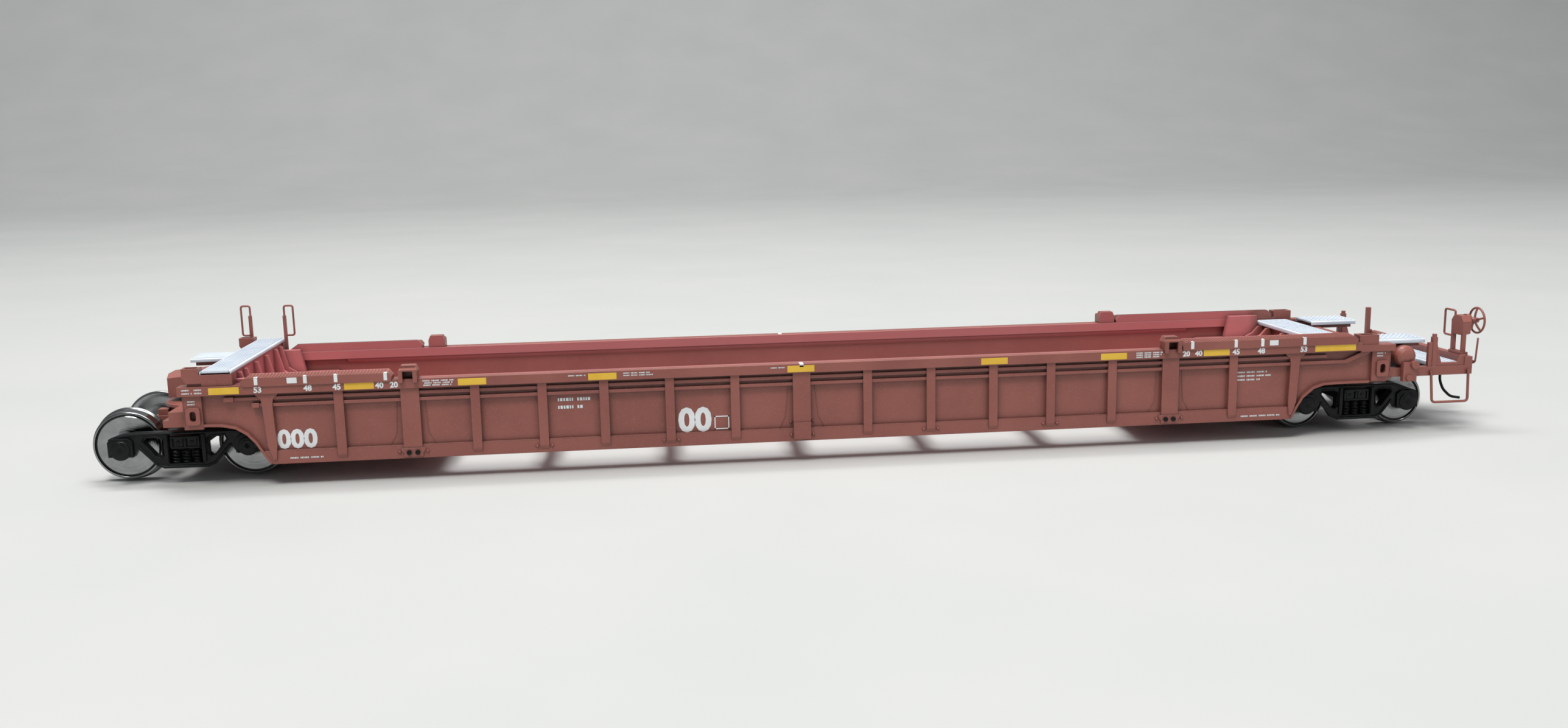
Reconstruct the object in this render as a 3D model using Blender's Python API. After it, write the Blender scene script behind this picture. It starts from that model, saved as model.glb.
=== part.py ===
"""HO scale (1:87.1) articulated container well car, end unit, with its two trucks.

Sizes below are millimetres at model scale and are turned to metres by MM.
X runs along the car towards the hand-brake end, Y across it, Z up from the wheels' lowest points.
"""

import math

import bmesh
import bpy
from mathutils import Matrix, Vector

MM = 0.001
SHIFT_X = -5.4  # moves the car so that its overall length is centred on X = 0

# running gear
TRUCK_X = 105.2
TRUCK_A_X = -105.9
WHEELBASE_A = 21.0
WHEELBASE_B = 19.8
RIM_R_A = 5.95
FLANGE_R_A = 6.35
RIM_R_B = 4.95
FLANGE_R_B = 5.30
BACK_HALF = 7.2
WHEEL_FACE = 9.9
AXLE_R = 1.15
JOURNAL_R = 0.75
AXLE_END = 12.35
FRAME_IN = 11.75
FRAME_OUT = 13.25
CAP_OUT = 13.75

# well body
SHEET_OUT = 17.2
SHEET_IN = 16.4
CHORD_OUT = 18.3
CHORD_IN = 15.8
CHORD_LOW = 16.05
CHORD_TOP = 17.66
GUIDE_TOP = 18.87
GUIDE_RISE = 0.33
SILL_LOW = 3.8
STEP_Z = 6.1
RIB_OUT = 18.0
PLATE_OUT = 17.75
LIP_OUT = 17.95
FLOOR_TOP = 5.2
FLOOR_LOW = 4.1
WELL_END = 86.0
DECK_LOW = 13.2
DECK_TOP = 14.0
GAP = 0.03

RIB_X = (11.7, 23.04, 34.33, 44.84, 56.16, 78.8)
POST_X = 67.0
END_RIB_X = 90.6
RIB_HALF = 0.78
POST_HALF = 1.55

for old in list(bpy.data.objects):
    bpy.data.objects.remove(old, do_unlink=True)

SCRATCH = []


def material(name, colour, roughness, metallic):
    made = bpy.data.materials.new(name)
    made.use_nodes = True
    made.diffuse_color = (*colour, 1.0)
    shader = made.node_tree.nodes["Principled BSDF"]
    shader.inputs["Base Color"].default_value = (*colour, 1.0)
    shader.inputs["Roughness"].default_value = roughness
    shader.inputs["Metallic"].default_value = metallic
    return made


RED = (0.235, 0.088, 0.070)
GREY = (0.58, 0.63, 0.70)
BLACK = (0.018, 0.020, 0.020)
STEEL = (0.62, 0.63, 0.62)


def mesh_from(points, faces):
    mesh = bpy.data.meshes.new("solid")
    mesh.from_pydata([Vector(p) * MM for p in points], [], faces)
    work = bmesh.new()
    work.from_mesh(mesh)
    bmesh.ops.recalc_face_normals(work, faces=work.faces)
    work.to_mesh(mesh)
    work.free()
    mesh.update()
    return mesh


def scratch(points, faces):
    obj = bpy.data.objects.new("scratch", mesh_from(points, faces))
    bpy.context.scene.collection.objects.link(obj)
    SCRATCH.append(obj)
    return obj


def extrude(outline, low, high, axis):
    """A prism. The outline's two numbers are the other two axes in X, Y, Z order."""

    def place(a, b, c):
        if axis == "X":
            return (c, a, b)
        if axis == "Y":
            return (a, c, b)
        return (a, b, c)

    count = len(outline)
    points = [place(a, b, low) for a, b in outline] + [place(a, b, high) for a, b in outline]
    faces = [list(range(count)), list(range(2 * count - 1, count - 1, -1))]
    for i in range(count):
        j = (i + 1) % count
        faces.append([i, j, j + count, i + count])
    return scratch(points, faces)


def box(x0, x1, y0, y1, z0, z1):
    return extrude([(x0, y0), (x1, y0), (x1, y1), (x0, y1)], z0, z1, "Z")


def loft(sections):
    """A closed body through equal rings of points."""
    count = len(sections[0])
    points = [p for ring in sections for p in ring]
    faces = [list(range(count))]
    last = (len(sections) - 1) * count
    faces.append(list(range(last + count - 1, last - 1, -1)))
    for k in range(len(sections) - 1):
        for i in range(count):
            j = (i + 1) % count
            a = k * count
            faces.append([a + i, a + j, a + count + j, a + count + i])
    return scratch(points, faces)


def ring(centre, radius, axis, steps, turn=0.0):
    out = []
    for i in range(steps):
        angle = turn + 2 * math.pi * i / steps
        a = radius * math.cos(angle)
        b = radius * math.sin(angle)
        if axis == "X":
            out.append((centre[0], centre[1] + a, centre[2] + b))
        elif axis == "Y":
            out.append((centre[0] + a, centre[1], centre[2] + b))
        else:
            out.append((centre[0] + a, centre[1] + b, centre[2]))
    return out


def lathe(profile, axis, centre, steps):
    """profile: (distance along axis, radius) pairs from one end to the other."""
    sections = []
    for along, radius in profile:
        middle = list(centre)
        middle["XYZ".index(axis)] += along
        sections.append(ring(middle, radius, axis, steps, math.pi / steps))
    return loft(sections)


def cylinder(axis, centre, radius, low, high, steps=20):
    return lathe([(low, radius), (high, radius)], axis, centre, steps)


def rod(path, radius, steps=8, closed=False):
    """A round bar along a path of points."""
    pts = [Vector(p) for p in path]
    sections = []
    count = len(pts)
    side = None
    for i, point in enumerate(pts):
        before = pts[i - 1] if (i > 0 or closed) else point
        after = pts[(i + 1) % count] if (i < count - 1 or closed) else point
        ahead = (after - before).normalized()
        if side is None:
            guess = Vector((0, 0, 1)) if abs(ahead.z) < 0.9 else Vector((0, 1, 0))
            side = guess.cross(ahead).normalized()
        side = (side - ahead * side.dot(ahead)).normalized()
        other = ahead.cross(side)
        grow = 1.0
        if (0 < i < count - 1) or closed:
            bend = (point - before).normalized().dot(ahead)
            grow = 1.0 / max(bend, 0.75)
        made = []
        for k in range(steps):
            angle = 2 * math.pi * (k + 0.5) / steps
            out = side * (radius * grow * math.cos(angle))
            made.append(point + out + other * (radius * math.sin(angle)))
        sections.append(made)
    if not closed:
        return loft(sections)
    points = [p for made in sections for p in made]
    faces = []
    for k in range(count):
        a = k * steps
        b = ((k + 1) % count) * steps
        for i in range(steps):
            j = (i + 1) % steps
            faces.append([a + i, a + j, b + j, b + i])
    return scratch(points, faces)


def rounded(path, radius, steps=3):
    """The path with its inner corners rounded."""
    pts = [Vector(p) for p in path]
    out = [pts[0]]
    for i in range(1, len(pts) - 1):
        into = (pts[i - 1] - pts[i]).normalized()
        onto = (pts[i + 1] - pts[i]).normalized()
        first = pts[i] + into * radius
        second = pts[i] + onto * radius
        for k in range(steps + 1):
            t = k / steps
            out.append(first * (1 - t) ** 2 + pts[i] * 2 * t * (1 - t) + second * t * t)
    out.append(pts[-1])
    return out


def round_rect(half_a, half_b, radius, steps=3):
    out = []
    corners = ((1, 1, 0), (-1, 1, 90), (-1, -1, 180), (1, -1, 270))
    for sa, sb, start in corners:
        for k in range(steps + 1):
            angle = math.radians(start + 90 * k / steps)
            a = sa * (half_a - radius) + radius * math.cos(angle)
            b = sb * (half_b - radius) + radius * math.sin(angle)
            out.append((a, b))
    return out


def moved(outline, a, b):
    return [(p + a, q + b) for p, q in outline]


def node(name, finish, adds, cuts=(), origin=(0.0, 0.0, 0.0), smooth=False):
    """Joins the adds, takes the cuts away and leaves one object with its origin on its pivot."""
    base = adds[0]
    groups = []
    for extra, operation in ((adds[1:], "UNION"), (cuts, "DIFFERENCE")):
        if not extra:
            continue
        group = bpy.data.collections.new("group")
        for piece in extra:
            group.objects.link(piece)
        groups.append(group)
        step = base.modifiers.new(operation.lower(), "BOOLEAN")
        step.operation = operation
        step.solver = "EXACT"
        step.operand_type = "COLLECTION"
        step.collection = group
        step.use_self = operation == "UNION"
    bpy.context.view_layer.update()
    graph = bpy.context.evaluated_depsgraph_get()
    mesh = bpy.data.meshes.new_from_object(base.evaluated_get(graph))
    work = bmesh.new()
    work.from_mesh(mesh)
    bmesh.ops.remove_doubles(work, verts=work.verts, dist=2e-6)
    bmesh.ops.dissolve_degenerate(work, dist=1e-6, edges=work.edges)
    flat = math.radians(0.5)
    bmesh.ops.dissolve_limit(work, angle_limit=flat, verts=work.verts, edges=work.edges)
    bmesh.ops.triangulate(work, faces=work.faces)
    bmesh.ops.recalc_face_normals(work, faces=work.faces)
    shift = Vector(((origin[0] + SHIFT_X) * MM, origin[1] * MM, origin[2] * MM))
    bmesh.ops.translate(work, verts=work.verts, vec=Vector((SHIFT_X * MM, 0, 0)) - shift)
    work.to_mesh(mesh)
    work.free()
    for piece in SCRATCH:
        bpy.data.objects.remove(piece, do_unlink=True)
    SCRATCH.clear()
    for group in groups:
        bpy.data.collections.remove(group)
    made = bpy.data.objects.new(name, mesh)
    made.location = shift
    mesh.name = name
    mesh.materials.clear()
    mesh.materials.append(material(name + "_mat", *finish))
    for face in mesh.polygons:
        face.use_smooth = smooth
    bpy.context.scene.collection.objects.link(made)
    return made


PAINT = (RED, 0.5, 0.0)
BOARD = (GREY, 0.55, 0.0)
PLASTIC = (BLACK, 0.45, 0.0)
METAL = (STEEL, 0.28, 1.0)


# ---- well sides ------------------------------------------------------------------------------

ARCH_A = ((-90.7, 3.8), (-91.9, 5.6), (-93.0, 7.5), (-94.3, 9.0))
ARCH_A += ((-96.0, 10.1), (-98.2, 10.6), (-101.1, 10.7))
ARCH_B = ((90.3, 3.8), (91.3, 5.8), (92.4, 7.6), (94.4, 9.25), (96.3, 9.85), (99.2, 9.95), (108.6, 9.96))


def side_sheet(sign):
    outline = list(ARCH_A)
    outline += [(-104.2, 10.3), (-104.2, 16.6), (108.9, 16.4)]
    outline += list(reversed(ARCH_B))
    low, high = span(sign, SHEET_IN, SHEET_OUT)
    return extrude(outline, low, high, "Y")


def span(sign, inner, outer):
    return sorted((sign * inner, sign * outer))


def side_box(sign, x0, x1, inner, outer, z0, z1):
    low, high = span(sign, inner, outer)
    return box(x0, x1, low, high, z0, z1)


def arch_lip(sign, points):
    """The narrow flange that follows the wheel arch."""
    outer = []
    for i, (x, z) in enumerate(points):
        ax, az = points[max(i - 1, 0)]
        bx, bz = points[min(i + 1, len(points) - 1)]
        across = Vector((az - bz, bx - ax)).normalized()
        if across.y < 0:
            across = -across
        outer.append((x + across.x * 0.42, z + across.y * 0.42))
    outline = list(points) + list(reversed(outer))
    low, high = span(sign, SHEET_OUT - 0.3, SHEET_OUT + 0.65)
    return extrude(outline, low, high, "Y")


def rib(sign, x, half, low_z):
    """A flat-faced rib with a bevelled foot."""
    back = SHEET_OUT - 0.4
    outline = [(back, low_z), (PLATE_OUT + 0.05, low_z), (RIB_OUT, low_z + 0.6)]
    outline += [(RIB_OUT, 16.5), (back, 16.5)]
    return extrude([(sign * y, z) for y, z in outline], x - half, x + half, "X")


def flared_rib(sign, side):
    """The end rib: wide fillets under the chord, leaning foot that ends in a point."""
    x = 90.4
    outline = [(x - 1.9, 16.5), (x - 1.7, 15.8), (x - 0.9, 15.1), (x - 0.75, 14.0), (x - 0.95, 7.0)]
    outline += [(x - 0.75, 4.6), (x - 0.25, 4.6), (x + 0.55, 7.0), (x + 0.95, 14.0), (x + 1.1, 15.1)]
    outline += [(x + 1.9, 15.8), (x + 2.1, 16.5)]
    low, high = span(sign, SHEET_OUT - 0.4, RIB_OUT)
    return extrude([(side * a, b) for a, b in outline], low, high, "Y")


def guide_rail(sign, x0, x1, cut_a, cut_b):
    """The raised rail on the chord: its top falls outwards, and both ends are cut at a slant."""
    middle = (CHORD_TOP + GUIDE_TOP) / 2
    rings = []
    for y, top in ((CHORD_OUT + 0.18, GUIDE_TOP), (CHORD_IN + 0.1, GUIDE_TOP + GUIDE_RISE)):
        lean = (top - middle) / (GUIDE_TOP - middle)
        outline = [(x0 + cut_a * 0.4, CHORD_TOP - 0.3), (x1 - cut_b * 0.4, CHORD_TOP - 0.3), (x1, middle)]
        outline += [(x1 - cut_b * lean, top), (x0 + cut_a * lean, top), (x0, middle)]
        rings.append([(x, sign * y, z) for x, z in outline])
    return loft(rings)


def jack_plate(sign, x, z):
    """Raised pad on the end post and the slot cut through it."""
    low, high = span(sign, 17.6, 18.15)
    plate = extrude(moved(round_rect(1.15, 1.5, 0.5), x, z), low, high, "Y")
    low, high = span(sign, 17.0, 19.0)
    slot = extrude(moved(round_rect(0.5, 0.85, 0.42), x, z), low, high, "Y")
    return plate, slot


def build_side(name, sign):
    adds = [side_sheet(sign)]
    cuts = []
    low, high = span(sign, CHORD_IN, CHORD_OUT)
    adds.append(box(-104.8, 103.1, low, high, CHORD_LOW, CHORD_TOP))
    adds.append(box(102.9, 109.5, low, high, CHORD_LOW - 0.2, 17.05))
    adds.append(guide_rail(sign, -94.5, -69.7, 0.9, 0.5))
    adds.append(guide_rail(sign, 68.9, 102.2, 0.5, 0.7))
    ledge = [(SHEET_IN + 0.2, 14.9), (SHEET_IN + 0.2, 16.2), (CHORD_IN + 0.2, 16.2), (CHORD_IN + 0.2, 15.7)]
    adds.append(extrude([(sign * y, z) for y, z in ledge], -84.0, 84.0, "X"))
    plate = [(-90.7, 3.8), (-91.75, 5.4), (-91.6, STEP_Z), (91.4, STEP_Z), (91.2, 5.6), (90.3, 3.8)]
    low, high = span(sign, SHEET_OUT - 0.2, PLATE_OUT)
    adds.append(extrude(plate, low, high, "Y"))
    low, high = span(sign, SHEET_OUT - 0.3, LIP_OUT - 0.15)
    for x0, x1, z0, z1 in ((-97.6, 96.6, 14.95, 15.5), (-92.9, 91.4, 13.8, 14.35)):
        ends = [(x0, z0), (x1, z0), (x1, z1), (x0, z1)]
        adds.append(extrude(ends, low, high, "Y"))
    slope = [(91.0, 13.8), (100.4, 13.8), (104.9, 15.5), (104.9, 16.2)]
    slope += [(104.2, 16.2), (100.1, 14.4), (91.0, 14.4)]
    adds.append(extrude(slope, low, high, "Y"))
    for side in (-1, 1):
        for x in RIB_X:
            adds.append(rib(sign, side * x, RIB_HALF, 4.45))
        adds.append(rib(sign, side * POST_X, POST_HALF, 5.3))
        adds.append(flared_rib(sign, side))
        foot = [(-2.0, 5.6), (-2.0, 5.2), (-1.6, 4.7), (-1.6, 4.05)]
        foot += [(-x, z) for x, z in reversed(foot)]
        low, high = span(sign, SHEET_OUT - 0.2, RIB_OUT - 0.05)
        adds.append(extrude(moved(foot, side * POST_X, 0), low, high, "Y"))
    adds.append(rib(sign, 0.0, POST_HALF, 4.45))
    adds.append(arch_lip(sign, ARCH_A))
    adds.append(arch_lip(sign, ARCH_B[:-1] + ((104.9, 9.96),)))
    low, high = span(sign, SHEET_OUT - 0.3, 17.8)
    adds.append(box(-104.2, -101.1, low, high, 10.3, 16.5))
    adds.append(box(105.3, 108.9, low, high, 10.3, 16.3))
    for x, z in ((-102.6, 12.6), (107.3, 12.6)):
        plate, slot = jack_plate(sign, x, z)
        adds.append(plate)
        cuts.append(slot)
    # low pocket that closes the rail at the hand-brake end
    low, high = span(sign, CHORD_IN + 0.1, CHORD_OUT - 0.2)
    adds.append(box(102.6, 106.3, low, high, 16.8, 18.9))
    cuts.append(box(103.1, 105.8, low + 0.45, high - 0.45, 18.3, 19.5))
    return node(name, PAINT, adds, cuts)


# ---- well floor and end frames -----------------------------------------------------------------


def build_floor():
    """Cross-bearers tied by a stringer along each side, with a plate under each container end."""
    wide = SHEET_IN - GAP
    ends = WELL_END - 0.4 - GAP
    adds = []
    for sign in (-1, 1):
        low, high = span(sign, 12.6, wide)
        adds.append(box(-ends, ends, low, high, FLOOR_LOW, FLOOR_TOP))
    for side in (-1, 1):
        low, high = sorted((side * 62.0, side * ends))
        adds.append(box(low, high, -wide, wide, FLOOR_LOW + 0.2, FLOOR_TOP))
    for x in (-67.0, -44.84, -23.04, 0.0, 23.04, 44.84, 67.0):
        adds.append(box(x - 1.5, x + 1.5, -13.0, 13.0, FLOOR_LOW - 0.5, FLOOR_TOP))
    return node("well_floor", PAINT, adds)


def build_bulkhead(name, side):
    """Upright plate that closes the bottom of the well, with stiffeners on its wheel side."""
    wide = SHEET_IN - GAP
    low, high = sorted((side * (WELL_END - 0.4), side * (WELL_END + 0.4)))
    adds = [box(low, high, -wide, wide, SILL_LOW, DECK_LOW - GAP)]
    for y in (-12.6, 0.0, 12.6):
        low, high = sorted((side * WELL_END, side * (WELL_END + 1.0)))
        adds.append(box(low, high, y - 0.4, y + 0.4, SILL_LOW + 0.3, DECK_LOW - 0.5))
    return node(name, PAINT, adds)


def build_deck_a():
    """Articulation end deck over the wheels, with the upper bulkhead and the sloped centre sill."""
    wide = SHEET_IN - GAP
    adds = [box(-104.1, -WELL_END + 0.4, -wide, wide, DECK_LOW, DECK_TOP)]
    high = CHORD_IN - GAP
    adds.append(box(-96.9, -96.1, -high, high, DECK_TOP - 0.3, 19.65))
    for y in (-13.6, -10.0, -3.4, 3.4, 10.0, 13.6):
        outline = [(-96.5, 13.7), (-93.0, 13.7), (-93.0, 14.3), (-94.4, 15.2), (-95.4, 19.2), (-96.5, 19.2)]
        adds.append(extrude(outline, y - 0.35, y + 0.35, "Y"))
    near = [(-2.95, 13.3), (-2.95, 16.7), (-1.9, 17.4), (1.9, 17.4), (2.95, 16.7), (2.95, 13.3)]
    back = [(-4.6, 13.3), (-4.6, 18.3), (-3.4, 18.4), (3.4, 18.4), (4.6, 18.3), (4.6, 13.3)]
    adds.append(loft([[(-111.3, y, z) for y, z in near], [(-96.5, y, z) for y, z in back]]))
    for sign in (-1, 1):
        low, high = span(sign, 5.6, 14.5)
        gusset = [(-104.1, 13.8), (-96.5, 13.8), (-96.5, 18.6), (-98.4, 18.6)]
        adds.append(extrude(gusset, low, low + 0.7, "Y"))
        adds.append(extrude(gusset, high - 0.7, high, "Y"))
    return node("deck_a", PAINT, adds)


def build_connector():
    """Round articulation casting over the truck centre, with its shelf and swivel pin."""
    centre = (TRUCK_A_X, 0, 0)
    profile = [(10.2, 6.1), (10.25, 6.3), (11.8, 6.3), (11.85, 6.6), (12.35, 6.6), (12.4, 6.2), (12.6, 6.0)]
    adds = [lathe(profile, "Z", centre, 36)]
    plate = [(-113.2, -4.4), (-112.4, -5.3), (-103.4, -5.3), (-103.4, 5.3), (-112.4, 5.3), (-113.2, 4.4)]
    cuts = [cylinder("Z", centre, 4.1, 8.0, 10.2, 24)]
    adds.append(extrude(plate, 9.3, 10.5, "Z"))
    for sign in (-1, 1):
        low, high = span(sign, 3.2, 5.0)
        adds.append(box(-112.6, -110.9, low, high, 10.3, 11.6))
    made = node_with_late_pin("connector_casting", adds, cuts, cylinder("Z", centre, 0.8, 7.4, 10.9, 16))
    return made


def build_body_bolster(name, cx, low, stem, x_side):
    """Bolster of the body, carried under the deck between the two sides."""
    wide = SHEET_IN - GAP
    adds = []
    top = DECK_LOW - GAP
    for sign in (-1, 1):
        near, far = span(sign, x_side, wide)
        adds.append(box(cx - 2.2, cx + 2.2, near, far, low, low + 1.2))
        adds.append(box(cx - 1.2, cx + 1.2, near, far, low + 1.0, top))
    if not stem:
        adds.append(box(cx - 1.2, cx + 1.2, -8.0, 8.0, 12.6 + GAP, top))
    else:
        adds.append(box(cx - 2.2, cx + 2.2, -wide + 1, wide - 1, low, low + 1.2))
        adds.append(cylinder("Z", (cx, 0, 0), 3.3, stem, low + 0.4, 28))
        adds.append(cylinder("Z", (cx, 0, 0), 0.8, 7.0, low + 0.6, 16))
    return node(name, PAINT, adds)


def build_deck_b():
    """Hand-brake end deck with the upper bulkhead and the centre sill that holds the coupler box."""
    wide = SHEET_IN - GAP
    adds = [box(WELL_END - 0.4, 108.9, -wide, wide, DECK_LOW, DECK_TOP)]
    high = CHORD_IN - GAP
    adds.append(box(99.4, 100.2, -high, high, DECK_TOP - 0.3, 16.3))
    for y in (-13.6, -10.0, -3.4, 3.4, 10.0, 13.6):
        outline = [(99.7, 13.7), (95.6, 13.7), (95.6, 14.3), (97.0, 15.0), (98.2, 16.3), (99.7, 16.3)]
        adds.append(extrude(outline, y - 0.35, y + 0.35, "Y"))
    adds.append(box(88.0, 102.6, -3.4, 3.4, 11.75, DECK_LOW + 0.3))
    adds.append(box(102.4, 108.0, -3.4, 3.4, 12.15, DECK_LOW + 0.3))
    adds.append(box(107.8, 118.4, -3.4, 3.4, 11.25, DECK_LOW - 0.2))
    adds.append(box(118.2, 121.5, -3.4, 3.4, 11.25, 11.95))
    adds.append(box(104.0, 108.9, -9.0, 9.0, 13.8, 16.4))
    return node("deck_b", PAINT, adds)


def build_platform():
    """End platform: side sills, end beam, corner posts and their gussets."""
    adds = [box(124.0, 125.5, -16.9, 16.9, 10.7, 13.95)]
    for sign in (-1, 1):
        low, high = span(sign, 15.5, 16.9)
        adds.append(box(109.0, 124.4, low, high, 10.7, 12.35))
        low, high = span(sign, 16.05, 16.75)
        outline = [(116.9, 12.0), (116.9, 16.8), (118.5, 16.8), (118.85, 15.1), (119.5, 12.9)]
        outline += [(122.9, 12.9), (123.5, 14.25), (124.4, 14.25), (124.4, 12.0)]
        adds.append(extrude(outline, low, high, "Y"))
        low, high = span(sign, 15.95, 16.85)
        adds.append(box(117.65, 118.5, low, high, 11.9, 17.8))
        adds.append(cylinder("Z", (118.08, sign * 16.4, 0), 0.42, 17.6, 18.35, 12))
        low, high = span(sign, 3.4 + GAP, 15.8)
        adds.append(box(121.9, 123.0, low, high, 10.9, 11.85))
        adds.append(box(121.9, 124.4, low, high, 10.9, 11.5))
    adds.append(box(123.1, 123.9, 15.95, 16.75, 12.0, 18.9))
    notch = box(123.0, 127.0, -3.45, 3.45, 10.0, 11.3)
    return node("end_platform", PAINT, adds, [notch])


def build_pedestal(name, sign):
    """Raised seat for the crosswise board with an open-topped pocket beside it."""
    low, high = span(sign, CHORD_IN + 0.15, CHORD_OUT - 0.3)
    adds = [box(-100.8, -95.8, low, high, CHORD_TOP + GAP, 19.6)]
    outline = [(-103.3, 18.15), (-100.6, 18.15), (-100.6, 19.6), (-101.1, 19.6)]
    outline += [(-101.1, 20.7), (-103.9, 20.7), (-103.9, 19.2)]
    adds.append(extrude(outline, low, high, "Y"))
    adds.append(box(-103.2, -100.6, low + 0.3, high - 0.3, CHORD_TOP + GAP, 18.4))
    cut = box(-103.5, -101.5, low + 0.4, high - 0.4, 18.8, 22.0)
    return node(name, PAINT, adds, [cut])


def build_container_guide(name, sign, side):
    """Tapered guide box on the inner face of the wall, over the end deck."""
    wall = CHORD_IN - GAP
    end = 96.05 if side < 0 else 98.4
    low = [(end, wall), (end, wall - 1.6), (91.6, wall - 1.6), (91.6, wall)]
    high = [(end, wall), (end, wall - 1.3), (92.5, wall - 1.3), (92.5, wall)]
    foot = [(side * x, sign * y, DECK_TOP + GAP) for x, y in low]
    head = [(side * x, sign * y, 18.3) for x, y in high]
    return node(name, PAINT, [loft([foot, head])])


def build_bracket(name, sign, side):
    """Bracket straddling the chord at the tall post, with a slot through its outer face."""
    x = side * 67.05
    face = CHORD_OUT + GAP
    low, high = span(sign, face, 18.9)
    adds = [box(x - 1.55, x + 1.55, low, high, 17.1, 19.3)]
    inner = CHORD_IN + 0.3
    roof = [(18.9, 18.95), (18.9, 19.3), (17.9, 19.5), (17.9, 19.9)]
    roof += [(inner, 19.9), (inner, 19.2), (18.4, 18.95)]
    adds.append(extrude([(sign * y, z) for y, z in roof], x - 1.55, x + 1.55, "X"))
    low, high = span(sign, inner, inner + 0.6)
    adds.append(box(x - 1.55, x + 1.55, low, high, CHORD_TOP + GAP, 19.5))
    for near, far in ((x - 1.55, x - 1.05), (x + 1.05, x + 1.55)):
        low, high = span(sign, inner + 0.3, face + 0.3)
        adds.append(box(near, far, low, high, CHORD_TOP + GAP, 19.3))
    low, high = span(sign, face - 0.8, 19.5)
    cuts = [box(x - 0.85, x + 0.85, low, high, 17.0, 19.04)]
    low, high = span(sign, inner - 1.0, 19.5)
    for way in (-1, 1):
        corner = [(x + way * 1.05, 20.2), (x + way * 1.8, 20.2), (x + way * 1.8, 18.9), (x + way * 1.52, 19.1)]
        cuts.append(extrude(corner, low, high, "Y"))
    return node(name, PAINT, adds, cuts)


# ---- running boards --------------------------------------------------------------------------


def board(name, x0, x1, y0, y1, z_top, along, thick=0.62):
    """Grating panel: a plate with raised slats and a rolled lip along each long edge."""
    adds = [box(x0, x1, y0, y1, z_top - 0.5, z_top - 0.14)]
    pitch = 0.95
    if along == "Y":
        count = max(3, int((x1 - x0) / pitch))
        step = (x1 - x0) / count
        for i in range(count):
            a = x0 + i * step + 0.14
            adds.append(box(a, a + step - 0.28, y0 + 0.15, y1 - 0.15, z_top - 0.3, z_top))
        for a in (x0 - 0.3, x1 - 0.12):
            adds.append(box(a, a + 0.42, y0, y1, z_top - thick, z_top - 0.25))
    else:
        count = max(3, int((y1 - y0) / pitch))
        step = (y1 - y0) / count
        for i in range(count):
            a = y0 + i * step + 0.14
            adds.append(box(x0 + 0.15, x1 - 0.15, a, a + step - 0.28, z_top - 0.3, z_top))
        for a in (y0 - 0.3, y1 - 0.12):
            adds.append(box(x0, x1, a, a + 0.42, z_top - thick, z_top - 0.25))
    return node(name, BOARD, adds)


def build_boards():
    board("board_a_cross", -100.7, -96.2, -17.9, 17.9, 20.35, "Y", 0.7)
    board("board_a_far", -110.9, -104.3, 9.3, 15.4, 18.3, "X", 0.8)
    board("board_b_cross", 99.0, 105.0, -15.3, 15.3, 17.3, "Y", 0.9)
    board("board_b_near", 107.3, 116.7, -15.4, -9.3, 17.6, "X", 0.9)
    board("board_b_far", 107.3, 116.7, 9.3, 15.4, 17.6, "X", 0.9)
    board("board_b_end", 118.9, 123.6, -15.2, 15.2, 12.9, "Y", 0.9)


def build_board_brackets():
    """Carriers under the lengthwise boards."""
    adds = [box(-110.2, -103.0, 9.9, 15.0, 16.75, 17.45)]
    adds.append(box(-104.1, -103.0, 10.5, 13.3, DECK_TOP + GAP, 17.0))
    node("board_carrier_a", PAINT, adds)
    for name, sign in (("board_carrier_near", -1), ("board_carrier_far", 1)):
        low, high = span(sign, 9.9, 14.5)
        adds = [box(107.7, 116.2, low, high, 16.0, 16.65)]
        low, high = span(sign, 10.4, 14.0)
        adds.append(box(109.0, 110.0, low, high, 11.5, 16.3))
        low, high = span(sign, 10.4, 15.5 - GAP)
        adds.append(box(109.0, 110.0, low, high, 11.0, 12.0))
        node(name, PAINT, adds)


# ---- safety appliances -------------------------------------------------------------------------


def loop_path(points, radius):
    """A closed wire loop through four corners."""
    middle = (Vector(points[0]) + Vector(points[-1])) / 2
    return rounded([middle, *points, middle], radius)[:-1]


def build_grab(name, x0, x1, post_x, y):
    corners = [(x0, y, 20.9), (x0, y, 26.6), (x1, y, 26.6), (x1, y, 20.9)]
    adds = [rod(loop_path(corners, 0.45), 0.2, 8, closed=True)]
    adds.append(box(post_x - 0.32, post_x + 0.32, y - 0.25, y + 0.25, CHORD_TOP + GAP, 24.7))
    return node(name, PAINT, adds)


def build_stirrup(name, sign):
    """Step hung from the platform's side sill."""
    y = sign * 17.2
    corners = [(117.3, y, 11.6), (117.8, y, 5.65), (124.8, y, 5.65), (124.6, y, 11.6)]
    adds = [rod(rounded(corners, 0.7), 0.26, 8)]
    return node(name, PAINT, adds)


def build_reservoir():
    """Air reservoir with its valve, on the near side sill."""
    profile = [(-17.5, 0.6), (-17.35, 1.25), (-16.95, 1.75), (-16.4, 2.0), (-14.8, 2.0), (-14.65, 1.7)]
    adds = [lathe(profile, "Y", (112.5, 0, 14.42), 24)]
    adds.append(box(111.6, 113.4, -16.6, -15.1, 12.35 + GAP, 12.9))
    adds.append(box(111.5, 114.1, -17.9, -16.9 - GAP, 9.9, 13.5))
    adds.append(cylinder("Y", (113.6, 0, 13.0), 0.75, -18.3, -17.3, 14))
    adds.append(cylinder("Y", (112.6, 0, 10.6), 0.6, -18.2, -17.3, 12))
    return node("air_reservoir", PAINT, adds)


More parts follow.
